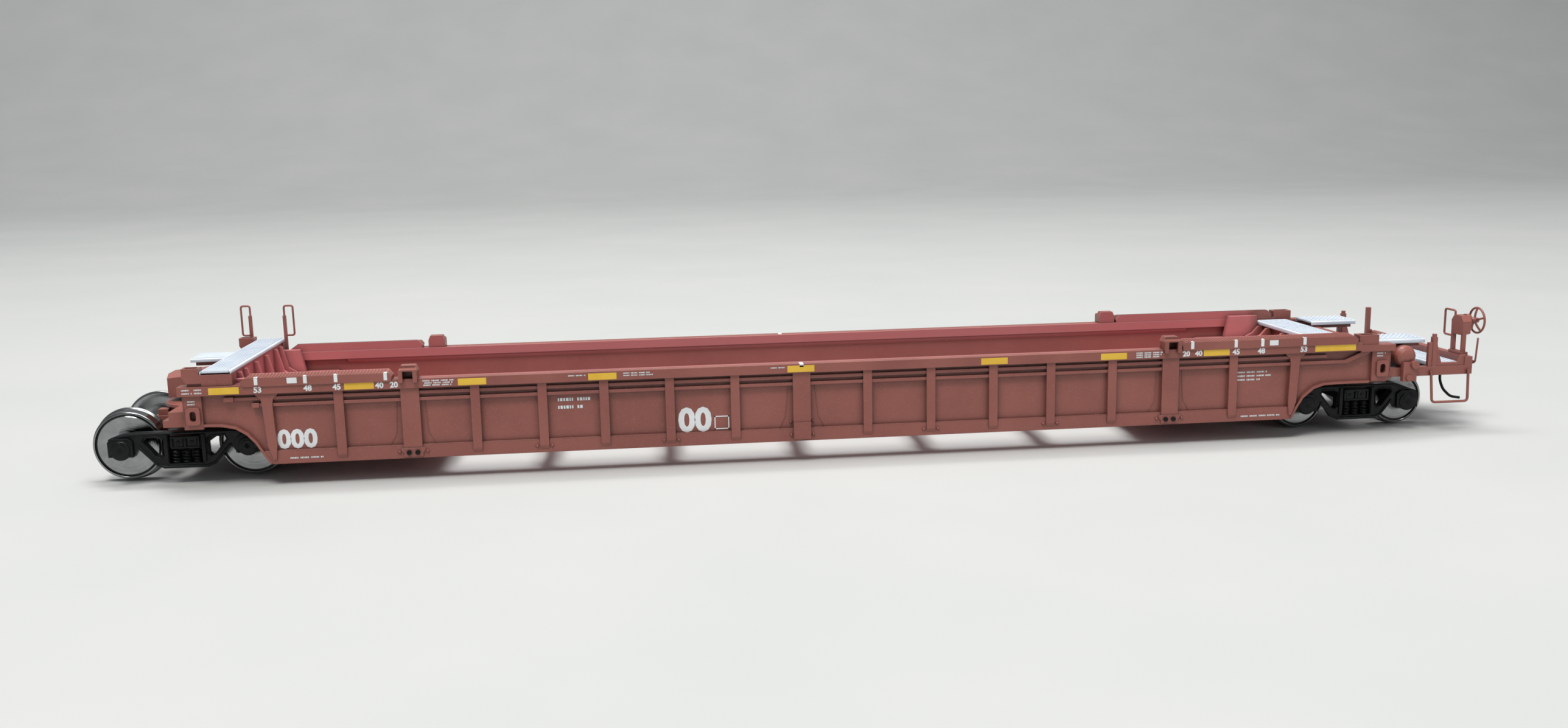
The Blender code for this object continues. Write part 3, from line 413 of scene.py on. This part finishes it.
# ---- carried-over CAD nodes ------------------------------------------------------------------

for node_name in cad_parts:
    if node_name.startswith("board_a") or node_name in ("board_b_cross", "board_b_end"):
        paint_nodes([node_name], GREY)
    elif node_name.startswith("truck_") or node_name in ("coupler", "knuckle", "coupler_box"):
        paint_nodes([node_name], WHEEL if "axle" in node_name else BLACK)
    else:
        paint_nodes([node_name], BODY)


# ---- wheels ----------------------------------------------------------------------------------


def wheel(name, x, z, sign, rim, flange, body, node):
    b = Build()
    half = [(7.2, 1.0), (7.2, 1.9), (7.42, 2.2), (7.5, rim - 1.4), (7.22, rim - 0.9)]
    half += [(7.2, flange - 0.4)]
    half += [(7.24, flange - 0.16), (7.34, flange - 0.04), (7.46, flange), (7.6, flange - 0.04)]
    half += [(7.72, flange - 0.16), (7.82, rim + 0.12), (8.0, rim + 0.04)]
    half += [(9.62, rim - 0.02), (9.8, rim - 0.07), (9.9, rim - 0.2), (9.9, rim - 0.4)]
    half += [(9.84, rim - 0.46), (9.55, rim - 0.47), (9.5, rim - 0.5)]
    # painted shade: the faces in the groove get the near-black material
    dark_from = len(half) - 2
    half += [(9.5, rim - 0.7), (9.55, rim - 0.73), (9.8, rim - 0.75)]
    dark_to = len(half) - 1
    half += [(9.88, rim - 0.85), (9.86, rim - 1.6), (9.8, 2.6), (9.82, 2.1)]
    half += [(9.9, 1.95), (9.95, 1.8), (9.95, 1.0)]
    steps = 96
    count = len(half)
    points = []
    for i in range(steps):
        angle = 2 * math.pi * i / steps
        points += [(x + r * math.cos(angle), sign * y, z + r * math.sin(angle)) for y, r in half]
    for i in range(steps):
        a, c = i * count, ((i + 1) % steps) * count
        for k in range(count):
            j = (k + 1) % count
            b.faces.append([a + k, a + j, c + j, c + k])
            b.slots.append(1 if dark_from <= k < dark_to else 0)
    b.points = points
    b.finish(name, body, [WHEEL, GROOVE_SHADE], [node], angle=38, origin=(x, 0, z))


for tag, t in TRUCKS.items():
    for number, side in ((1, -1), (2, 1)):
        for place, sign in (("near", -1), ("far", 1)):
            node = f"truck_{tag}_wheel_{number}_{place}"
            x = t["cx"] + side * t["base"] / 2
            body = f"wheelset_{tag}_{number}"
            wheel(f"turned_{node}", x, t["axle_z"], sign, t["rim"], t["flange"], body, node)


# ---- truck side frame detail -----------------------------------------------------------------


def truck_detail(tag, t, place, sign):
    b = Build()
    cx, half, axle_z, top, foot = t["cx"], t["base"] / 2, t["axle_z"], t["top"], t["foot"]
    face = 13.25

    def rail(points, width):
        """A raised bead that follows an outline on the frame's face."""
        path = [(cx + x, sign * (face - 0.02), z) for x, z in points]
        b.tube(path, width, 8)

    upper = [(-half - 1.6, axle_z + 1.75), (-half - 0.5, axle_z + 2.15), (-half + 2.3, top - 0.28)]
    upper += [(half - 2.3, top - 0.28), (half + 0.5, axle_z + 2.15), (half + 1.6, axle_z + 1.75)]
    rail(upper, 0.24)
    lower = [(-half + 2.9, axle_z + 0.35), (-4.75, foot + 0.72), (-3.6, foot + 0.27), (3.6, foot + 0.27)]
    lower += [(4.75, foot + 0.72), (half - 2.9, axle_z + 0.35)]
    rail(lower, 0.26)
    for side in (-1, 1):
        hole = [(3.62, top - 1.25), (4.45, top - 0.82), (6.75, top - 0.82), (7.08, top - 1.6)]
        hole += [(5.0, top - 4.2), (4.15, top - 4.55), (3.65, top - 4.1)]
        path = [(cx + side * x, sign * face, z) for x, z in hole]
        b.tube(path, 0.16, 6, True)
        # column guide beside the spring pocket
        low, high = span(sign, 12.9, 13.55)
        x0, x1 = sorted((cx + side * 2.8, cx + side * 3.4))
        b.box(x0, x1, low, high, foot + 1.0, top - 0.5)
        x = cx + side * half
        # bearing adapter, cap, and cap bolts
        low, high = span(sign, 13.1, 13.72)
        pad = [(x - 2.05, axle_z - 1.15), (x + 2.05, axle_z - 1.15), (x + 2.05, axle_z + 1.5)]
        pad += [(x + 1.3, axle_z + 2.05), (x - 1.3, axle_z + 2.05), (x - 2.05, axle_z + 1.5)]
        b.extrude(pad, low, high, "Y")
        profile = [(13.3, 1.62), (13.82, 1.62), (13.95, 1.5), (13.98, 1.05), (14.02, 1.0), (14.05, 0.5)]
        if sign < 0:
            profile = [(-a, r) for a, r in reversed(profile)]
        b.lathe(profile, "Y", (x, 0, axle_z), 28)
        for k in range(3):
            angle = math.pi / 2 + 2 * math.pi * k / 3
            spot = (x + 1.22 * math.cos(angle), sign * 13.93, axle_z + 1.22 * math.sin(angle))
            b.bolt(spot, 0.2, 0.11, "Y", sign)
        for dx in (-1.7, 1.7):
            b.bolt((x + dx, sign * 13.72, axle_z - 0.85), 0.2, 0.12, "Y", sign)
    # coil springs and the seat they stand on
    low_z, high_z = foot + 0.82, top - 3.05
    for dx in (-1.75, 0.0, 1.75):
        path = []
        turns = 4.0
        for i in range(int(turns * 12) + 1):
            angle = 2 * math.pi * i / 12
            z = low_z + 0.12 + (high_z - low_z - 0.24) * i / (turns * 12)
            path.append((cx + dx + 0.6 * math.cos(angle), sign * (12.62 + 0.6 * math.sin(angle)), z))
        b.tube(path, 0.155, 6)
    low, high = span(sign, 12.0, 13.4)
    b.box(cx - 2.8, cx + 2.8, low, high, foot + 0.55, foot + 0.86)
    # web moulded behind the springs, so no light shows between them
    low, high = span(sign, 11.7, 12.1)
    b.box(cx - 2.9, cx + 2.9, low, high, foot + 0.6, top - 3.0)
    # bolster end with its ribs and wedges
    bolster = Build()
    low, high = span(sign, 12.9, 13.3)
    for x0, x1, z0, z1 in ((-2.4, 2.4, 0.0, 0.35), (-2.4, 2.4, 1.75, 2.1), (-2.4, -2.05, 0.2, 1.9)):
        bolster.box(cx + x0, cx + x1, low, high, top - 3.0 + z0, top - 3.0 + z1)
    bolster.box(cx + 2.05, cx + 2.4, low, high, top - 2.8, top - 1.1)
    bolster.box(cx - 0.2, cx + 0.2, low, high, top - 2.8, top - 1.1)
    for dx in (-1.15, 1.15):
        bolster.bolt((cx + dx, sign * 13.15, top - 1.95), 0.34, 0.16, "Y", sign)
    name = f"truck_{tag}_{place}"
    b.finish(f"frame_detail_{name}", f"truck_{tag}", [BLACK], bevel=0.04)
    bolster.finish(f"bolster_end_{name}", f"truck_{tag}", [BLACK], bevel=0.05)


for tag, t in TRUCKS.items():
    for place, sign in (("near", -1), ("far", 1)):
        truck_detail(tag, t, place, sign)


# ---- walkway boards --------------------------------------------------------------------------


def board(node, x0, x1, y0, y1, z_top, along, thick, grip):
    """Tread board: a channel with rolled long edges and raised grip: long slats or short bars."""
    b = Build()

    def put(a0, a1, c0, c1, z0, z1):
        """a runs across the board, c along it."""
        if along == "Y":
            b.box(a0, a1, c0, c1, z0, z1)
        else:
            b.box(c0, c1, a0, a1, z0, z1)

    a0, a1, c0, c1 = (x0, x1, y0, y1) if along == "Y" else (y0, y1, x0, x1)
    put(a0 + 0.05, a1 - 0.05, c0 + 0.02, c1 - 0.02, z_top - 0.42, z_top - 0.15)
    for edge, way in ((a0, -1), (a1, 1)):
        outline = [(-0.12, -0.12), (0.12, -0.16), (0.26, -0.26), (0.3, -0.42), (0.3, -thick)]
        outline += [(0.12, -thick), (0.12, -0.45), (-0.12, -0.4)]
        shape = [(edge + way * u, z_top + v) for u, v in outline]
        if along == "Y":
            b.extrude(shape, c0, c1, "Y")
        else:
            b.extrude(shape, c0, c1, "X")
    rows = max(5, round((a1 - a0) / (0.5 if grip == "slats" else 0.62)))
    pitch = (a1 - a0 - 0.2) / rows
    bars = 1 if grip == "slats" else max(6, round((c1 - c0) / 0.95))
    step = (c1 - c0 - 0.3) / bars
    for i in range(rows):
        low = a0 + 0.1 + i * pitch + 0.12
        high = low + pitch - 0.24
        for k in range(bars + 1):
            slide = 0.5 if i % 2 and bars > 1 else 0.0
            start = c0 + 0.15 + (k - slide) * step
            end = start + step * (1.0 if bars == 1 else 0.62)
            if start >= c0 + 0.1 and end <= c1 - 0.1:
                put(low, high, start, end, z_top - 0.2, z_top)
    for c in (c0, c1 - 0.14):
        put(a0, a1, c, c + 0.14, z_top - 0.5, z_top - 0.06)
    b.finish(f"tread_{node}", "body", [GREY], [node], bevel=0.03)


board("board_a_cross", -100.7, -96.2, -17.9, 17.9, 20.35, "Y", 0.7, "slats")
board("board_a_far", -110.9, -104.3, 9.3, 15.4, 18.3, "X", 0.8, "slats")
board("board_b_cross", 99.0, 105.0, -15.3, 15.3, 17.3, "Y", 0.9, "bars")
board("board_b_near", 107.3, 116.7, -15.4, -9.3, 17.6, "X", 0.9, "bars")
board("board_b_far", 107.3, 116.7, 9.3, 15.4, 17.6, "X", 0.9, "bars")
board("board_b_end", 118.9, 123.6, -15.2, 15.2, 12.9, "Y", 0.9, "bars")


# ---- wire parts ------------------------------------------------------------------------------


def wire(node, paths, extras=()):
    b = Build()
    for points, radius, bend, closed in paths:
        path = loop(points, bend) if closed else rounded(points, bend, 5)
        b.tube(path, radius, 12, closed)
    for extra in extras:
        b.box(*extra)
    b.finish(f"wire_{node}", "body", [BODY], [node], bevel=0.0, angle=50)


def grab(node, x0, x1, post, y):
    corners = [(x0, y, 20.9), (x0, y, 26.6), (x1, y, 26.6), (x1, y, 20.9)]
    plate = (post - 0.3, post + 0.3, y - 0.22, y + 0.22, 17.7, 24.7)
    wire(node, [(corners, 0.19, 0.45, True)], [plate])


grab("grab_loop_1", -103.7, -102.05, -102.1, 18.33)
grab("grab_loop_2", -95.4, -93.75, -95.4, 17.0)
for place, sign in (("near", -1), ("far", 1)):
    y = sign * 17.2
    corners = [(117.3, y, 11.6), (117.8, y, 5.65), (124.8, y, 5.65), (124.6, y, 11.6)]
    wire(f"stirrup_{place}", [(corners, 0.24, 0.7, False)])
lever = [(126.3, -1.4, 11.9), (126.3, -2.6, 12.7), (126.3, -16.5, 12.7), (126.6, -16.5, 17.3)]
clips = [(125.53, 126.5, y - 0.3, y + 0.3, 12.4, 13.0) for y in (-9.9, -15.6)]
wire("uncoupling_lever", [(lever, 0.17, 0.5, False)], clips)


# ---- brake wheel -----------------------------------------------------------------------------


BRAKE = Vector((128.3, -13.2, 20.1))


def brake_wheel():
    """Hand wheel: round rim, five dished spokes, hub and shaft."""
    b = Build()
    rim = 2.35
    ring = []
    for i in range(48):
        angle = 2 * math.pi * i / 48
        ring.append((BRAKE.x, BRAKE.y + rim * math.cos(angle), BRAKE.z + rim * math.sin(angle)))
    b.tube(ring, 0.2, 10, True)
    for k in range(5):
        angle = math.pi / 2 + 2 * math.pi * k / 5
        path = []
        for step in range(7):
            r = 0.35 + (rim - 0.35) * step / 6
            x = BRAKE.x - 0.45 * (1 - (step / 6) ** 2)
            path.append((x, BRAKE.y + r * math.cos(angle), BRAKE.z + r * math.sin(angle)))
        b.tube(path, 0.2, 8)
    b.lathe([(-1.2, 0.5), (-1.1, 0.6), (-0.3, 0.6), (-0.1, 0.5), (0.2, 0.45), (0.33, 0.3)], "X", BRAKE, 20)
    b.lathe([(-3.3, 0.28), (-1.1, 0.28)], "X", BRAKE, 16)
    b.finish("brake_handwheel", "brake_wheel", [BODY], ["brake_wheel"], angle=45)


def brake_gear():
    """Round gear cover, bolts, pawl and chain guide on the brake stand."""
    b = Build()
    face = 126.0
    cover_z = BRAKE.z - 0.2
    # the bore clears the turning shaft, which lies a little above the cover's centre
    bore = 0.54
    cover = [(-0.1, 1.5), (0.35, 1.5), (0.5, 1.35), (0.55, 0.85), (0.85, 0.8), (0.9, 0.66)]
    b.ring([(-0.1, bore), *cover, (0.9, bore)], (face, BRAKE.y, cover_z), 28)
    for k in range(6):
        angle = math.pi / 6 + math.pi * k / 3
        place = (face + 0.45, BRAKE.y + 1.12 * math.cos(angle), cover_z + 1.12 * math.sin(angle))
        b.bolt(place, 0.15, 0.12, "X", 1)
    b.tube([(face + 0.1, -14.9, 18.6), (face + 0.35, -14.7, 19.3), (face + 0.35, -14.4, 20.3)], 0.16, 8)
    b.finish("brake_gear_cover", "body", [BODY], bevel=0.03, angle=40)


brake_wheel()
brake_gear()


# ---- detail on the body ----------------------------------------------------------------------


def digits(name, text, x, z, height, sign, y):
    """Plain numerals of one height, standing on a side face, read from outside."""
    curve = bpy.data.curves.new(name, "FONT")
    curve.body = text
    curve.size = 1.0
    curve.align_x = "CENTER"
    curve.offset = 0.042
    curve.resolution_u = 3
    holder = bpy.data.objects.new(name + "_text", curve)
    bpy.context.scene.collection.objects.link(holder)
    bpy.context.view_layer.update()
    graph = bpy.context.evaluated_depsgraph_get()
    source = bpy.data.meshes.new_from_object(holder.evaluated_get(graph))
    tall = max(v.co.y for v in source.vertices)
    scale = height / tall
    b = Build()
    flat = [(sign * -1 * v.co.x * scale, v.co.y * scale) for v in source.vertices]
    work = bmesh.new()
    verts = [work.verts.new((a, c, 0)) for a, c in flat]
    for face in source.polygons:
        work.faces.new([verts[i] for i in face.vertices])
    bmesh.ops.remove_doubles(work, verts=work.verts, dist=1e-5)
    made = bmesh.ops.extrude_face_region(work, geom=list(work.faces))
    moved = [g for g in made["geom"] if isinstance(g, bmesh.types.BMVert)]
    for vert in moved:
        vert.co.z = 1.0
    # the extrusion returns its parts in no fixed order, so they are sorted here
    verts = sorted(work.verts, key=lambda v: (v.co.z > 0.5, v.co.x, v.co.y))
    rank = {vert: i for i, vert in enumerate(verts)}
    points = []
    for vert in verts:
        depth = sign * (y + (0.035 if vert.co.z > 0.5 else -0.05))
        points.append((x + vert.co.x, depth, z + vert.co.y))
    faces = []
    for face in work.faces:
        turn = [rank[vert] for vert in face.verts]
        start = turn.index(min(turn))
        faces.append(turn[start:] + turn[:start])
    b.shell(points, sorted(faces))
    work.free()
    bpy.data.objects.remove(holder, do_unlink=True)
    return b


SMALL_ROWS = [
    (-42.3, -36.8, 12.55, 0.55, SHEET_OUT),
    (-42.3, -38.4, 11.2, 0.55, SHEET_OUT),
    (79.9, 85.4, 12.6, 0.3, SHEET_OUT),
    (79.9, 86.2, 11.9, 0.3, SHEET_OUT),
    (79.9, 84.0, 11.2, 0.3, SHEET_OUT),
    (-87.5, -82.1, 4.6, 0.28, PLATE_OUT),
    (80.6, 88.0, 4.55, 0.28, PLATE_OUT),
    (-64.7, -59.6, 17.1, 0.25, CHORD_OUT),
    (-64.4, -59.9, 16.72, 0.25, CHORD_OUT),
    (-64.6, -60.1, 16.34, 0.25, CHORD_OUT),
    (-40.3, -37.4, 17.0, 0.22, CHORD_OUT),
    (-30.9, -26.4, 17.1, 0.22, CHORD_OUT),
    (-30.9, -26.0, 16.7, 0.22, CHORD_OUT),
    (-5.4, -2.9, 17.0, 0.22, CHORD_OUT),
    (60.4, 65.2, 17.1, 0.25, CHORD_OUT),
    (60.4, 65.0, 16.72, 0.25, CHORD_OUT),
    (60.4, 64.7, 16.34, 0.25, CHORD_OUT),
    (-104.0, -102.6, 17.0, 0.25, CHORD_OUT),
    (-104.0, -102.4, 16.45, 0.25, CHORD_OUT),
    (-102.0, -100.5, 17.0, 0.25, CHORD_OUT),
    (-102.0, -100.8, 16.45, 0.25, CHORD_OUT),
    (-103.4, -102.0, 15.0, 0.25, RIB_OUT - 0.2),
    (-103.4, -101.9, 14.5, 0.25, RIB_OUT - 0.2),
    (106.2, 107.8, 15.3, 0.25, RIB_OUT - 0.2),
    (106.2, 107.7, 14.8, 0.25, RIB_OUT - 0.2),
]


# (x, text) of the scale numerals, read as on the near side
LENGTH_NUMERALS = [(-91.75, "53"), (-83.6, "48"), (-78.85, "45"), (-71.85, "40"), (-69.45, "20")]
LENGTH_NUMERALS += [(91.85, "53"), (83.8, "48"), (79.05, "45"), (72.0, "40"), (69.7, "20")]
MARK_Z = 16.33
MARK_HEIGHT = 0.98
# (x, z, height, text) of the large numerals
PANEL_NUMERALS = ((-86.2, 6.45, 3.2, "000"), (-18.8, 6.35, 4.2, "00"))
# (x from, x to, z from, z to) of the empty square's four sides, from its middle
SQUARE_SIDES = (
    (-1.3, 1.3, 6.4, 6.6),
    (-1.3, 1.3, 8.6, 8.8),
    (-1.3, -1.1, 6.4, 8.8),
    (1.1, 1.3, 6.4, 8.8),
)
# (from, to) of the yellow strips along the top chord
YELLOW_STRIPS = ((-99.7, -94.75), (-77.65, -72.75), (72.95, 77.8), (94.0, 101.8))
YELLOW_STRIPS += ((-58.85, -54.1), (-36.9, -32.05), (-2.5, 2.25), (32.0, 36.8), (53.85, 58.65))


def side_marks(place, sign):
    white = Build()
    yellow = Build()

    def on(build, x0, x1, z0, z1, y, thick=0.035):
        low, high = span(sign, y - 0.05, y + thick)
        build.box(x0, x1, low, high, z0, z1)

    for side in (-1, 1):
        for x in (70.75, 78.9, 83.9, 91.9):
            centre = side * x
            on(white, centre - 0.3, centre + 0.3, 17.62, 18.82, GUIDE_OUT - 0.01)
            front, rear = GUIDE_OUT + 0.02, GUIDE_OUT - 0.5
            crest = [(front, 18.84), (front, 18.91), (rear, 18.98), (rear, 18.9)]
            white.extrude([(sign * y, z) for y, z in crest], centre - 0.3, centre + 0.3, "X")
    on(white, -0.35, 0.35, 17.1, 17.64, CHORD_OUT)
    low, high = span(sign, CHORD_OUT - 1.6, CHORD_OUT + 0.03)
    white.box(-0.35, 0.35, low, high, 17.6, 17.69)
    # scale numerals under the length marks; zeros stand in place of the original numbers
    for x, text in LENGTH_NUMERALS:
        shown = digits("mark", text, sign * -1 * x, MARK_Z, MARK_HEIGHT, sign, CHORD_OUT)
        white.shell(shown.points, shown.faces)
    for x, z, height, text in PANEL_NUMERALS:
        shown = digits("panel", text, sign * -1 * x, z, height, sign, SHEET_OUT)
        white.shell(shown.points, shown.faces)
    # square outline beside the large numeral
    frame_x = sign * 14.1
    for x0, x1, z0, z1 in SQUARE_SIDES:
        on(white, frame_x + x0, frame_x + x1, z0, z1, SHEET_OUT)
    # rows of short dashes where the original has small print
    for x0, x1, z, height, y in SMALL_ROWS:
        x = x0
        turn = 0
        while x < x1:
            wide = height * (0.45, 0.7, 0.55, 0.8, 0.4)[turn % 5]
            if turn % 7 != 6:
                a, c = sorted((sign * -1 * x, sign * -1 * (x + wide)))
                on(white, a, c, z, z + height, y)
            x += wide + height * 0.28
            turn += 1
    # plain plaques on the rail
    for x in (-86.05, 86.05):
        x = sign * -1 * x
        on(white, x - 0.82, x + 0.82, 17.72, 18.68, GUIDE_OUT)
    for x0, x1 in YELLOW_STRIPS:
        a, c = sorted((sign * -1 * x0, sign * -1 * x1))
        on(yellow, a, c, 16.22, 17.38, CHORD_OUT)
    white.finish(f"marks_white_{place}", "body", [WHITE], angle=30)
    yellow.finish(f"marks_yellow_{place}", "body", [YELLOW], angle=30)


for place, sign in (("near", -1), ("far", 1)):
    side_marks(place, sign)


def side_detail(place, sign):
    """Rivets, gusset welds, tread ribs on the rails and small castings of one side."""
    b = Build()

    def bead(points, y, radius=0.07):
        b.tube([(x, sign * y, z) for x, z in points], radius, 6)

    for x in (-44.84, -23.04, 23.04, 44.84):
        for dx in (-1.28, 1.28):
            b.bolt((x + dx, sign * PLATE_OUT, 4.95), 0.3, 0.28, "Y", sign)
    for x in (-POST_X, POST_X):
        for dx in (-2.35, 2.35):
            b.bolt((x + dx, sign * PLATE_OUT, 4.95), 0.3, 0.28, "Y", sign)
    for dx in (-1.95, 1.95):
        b.bolt((dx, sign * PLATE_OUT, 4.95), 0.3, 0.28, "Y", sign)
        b.bolt((dx, sign * SHEET_OUT, 7.2), 0.3, 0.28, "Y", sign)
    # stepped foot block of the middle post
    low, high = span(sign, RIB_OUT - 0.1, RIB_OUT + 0.18)
    b.box(-1.52, 1.52, low, high, 4.15, 7.2)
    # welded gussets beside the tall posts and the middle post
    for x, top, waist, toe in ((-POST_X, 2.38, 2.7, 3.8), (POST_X, 2.38, 2.7, 3.8), (0.0, 2.35, 2.95, 3.9)):
        for side in (-1, 1):
            points = [(x + side * top, 13.7), (x + side * waist, 8.1), (x + side * toe, 6.2)]
            bead(points, SHEET_OUT, 0.08)
    # weld seam over the lower plate
    ribs = [-x for x in reversed(RIB_X)] + [0.0, *RIB_X]
    for x0, x1 in zip([-WELL_END, *ribs], [*ribs, WELL_END]):
        bead([(x0 + 0.9, 6.1), (x1 - 0.9, 6.1)], PLATE_OUT - 0.03, 0.06)
    # fine cross ribs on the sloping tops of the guide rails
    crest = [(sign * 18.3, 18.86), (sign * 18.3, 18.96), (sign * 16.1, 19.24), (sign * 16.1, 19.14)]
    for x0, x1 in ((-93.2, -70.6), (69.8, 101.2)):
        count = int((x1 - x0) / 0.55)
        for i in range(count):
            x = x0 + (x1 - x0) * i / count
            b.extrude(crest, x, x + 0.22, "X")
    # sleeves on the ends of the two ridges
    for x0, x1, z in ((-97.5, -95.9, 15.25), (-93.0, -91.8, 14.1)):
        low, high = span(sign, SHEET_OUT - 0.1, 18.0)
        b.box(x0, x1, low, high, z - 0.42, z + 0.38)
    # end post beads
    for x0, x1, z0, z1 in ((-104.1, -101.2, 10.4, 15.9), (105.4, 108.8, 10.4, 15.7)):
        bead([(x0, z0), (x0, z1)], 17.78, 0.09)
        bead([(x1, z0), (x1, z1)], 17.78, 0.09)
    b.finish(f"side_detail_{place}", "body", [BODY], bevel=0.0, angle=40)


def foot_bolts(place, sign):
    """Dark bolts through the feet of the tall posts."""
    b = Build()
    for side in (-1, 1):
        for dx in (-0.72, 0.72):
            ring = [(0.42, 0.0), (0.42, 0.1), (0.3, 0.14)]
            profile = [(-0.05, ring[0][0]), (ring[1][1], ring[1][0]), (ring[2][1], ring[2][0])]
            if sign < 0:
                profile = [(-a, r) for a, r in reversed(profile)]
            b.lathe(profile, "Y", (side * POST_X + dx, sign * (RIB_OUT + 0.15), 4.85), 14)
    b.finish(f"foot_bolts_{place}", "body", [BLACK], angle=40)


for place, sign in (("near", -1), ("far", 1)):
    side_detail(place, sign)
    foot_bolts(place, sign)


# ---- stage, light and camera -----------------------------------------------------------------


def stage():
    """A pale sheet: flat under the model, then swept up behind it."""
    profile = [(-3.0, 0.0), (0.9, 0.0)]
    radius = 0.9
    for i in range(1, 17):
        angle = math.pi / 2 * i / 16
        profile.append((0.9 + radius * math.sin(angle), radius - radius * math.cos(angle)))
    profile.append((0.9 + radius, 3.0))
    points = [(x, y, z) for x in (-4.0, 4.0) for y, z in profile]
    count = len(profile)
    faces = [(i, i + count, i + count + 1, i + 1) for i in range(count - 1)]
    mesh = bpy.data.meshes.new("floor")
    mesh.from_pydata(points, [], faces)
    mesh.shade_smooth()
    floor = bpy.data.objects.new("floor", mesh)
    floor.location = (0, 0, -0.00002)
    bpy.context.scene.collection.objects.link(floor)
    s = Shader("pale_floor")
    slow = s.remap(s.noise(14.0, 3.0), 0.3, 0.7, 0.0, 1.0)
    tone = s.mix(slow, (0.46, 0.47, 0.46, 1), (0.49, 0.495, 0.485, 1))
    s.join(tone, s.bsdf.inputs["Base Color"])
    s.bsdf.inputs["Roughness"].default_value = 0.85
    mesh.materials.append(s.made)


def lamp(name, place, target, size, power, colour=(1, 1, 1)):
    data = bpy.data.lights.new(name, "AREA")
    data.shape = "RECTANGLE"
    data.size = size[0]
    data.size_y = size[1]
    data.energy = power
    data.color = colour
    obj = bpy.data.objects.new(name, data)
    obj.location = place
    way = Vector(target) - Vector(place)
    obj.rotation_euler = way.to_track_quat("-Z", "Y").to_euler()
    bpy.context.scene.collection.objects.link(obj)


def camera():
    """The view of the photograph: position, turn and lens length solved beforehand."""
    yaw, pitch, roll = 0.105888, 0.172909, -0.020228
    place = Vector((-27.584 + SHIFT_X, -248.918, 58.251)) * MM
    level = math.cos(pitch)
    forward = Vector((math.sin(yaw) * level, math.cos(yaw) * level, -math.sin(pitch)))
    right = Vector((math.cos(yaw), -math.sin(yaw), 0.0))
    down = forward.cross(right)
    turned_right = right * math.cos(roll) - down * math.sin(roll)
    turned_down = right * math.sin(roll) + down * math.cos(roll)
    data = bpy.data.cameras.new("camera")
    data.sensor_width = 36.0
    data.lens = 31.057127329192546
    data.clip_start = 0.005
    data.clip_end = 20.0
    obj = bpy.data.objects.new("camera", data)
    turn = Matrix((turned_right, -turned_down, -forward)).transposed().to_4x4()
    obj.matrix_world = Matrix.Translation(place) @ turn
    bpy.context.scene.collection.objects.link(obj)
    bpy.context.scene.camera = obj


def lights():
    world = bpy.data.worlds.new("soft_room")
    world.use_nodes = True
    back = world.node_tree.nodes["Background"]
    back.inputs["Color"].default_value = (0.93, 0.96, 1.0, 1)
    back.inputs["Strength"].default_value = 0.28
    bpy.context.scene.world = world
    lamp("key", (-0.25, -0.42, 0.95), (0.0, 0.0, 0.0), (0.35, 0.3), 7.4, (1.0, 0.985, 0.96))
    lamp("fill", (0.6, -0.7, 0.4), (0.02, 0.0, 0.01), (0.6, 0.5), 1.0, (0.95, 0.98, 1.0))
    lamp("top", (0.05, 0.05, 0.85), (0.0, 0.0, 0.0), (0.8, 0.3), 5.6)
    lamp("backdrop", (0.0, 0.5, 1.6), (0.0, 1.75, 0.5), (2.0, 0.5), 16.0)


stage()
lights()
camera()
bpy.context.scene.view_settings.view_transform = "Standard"
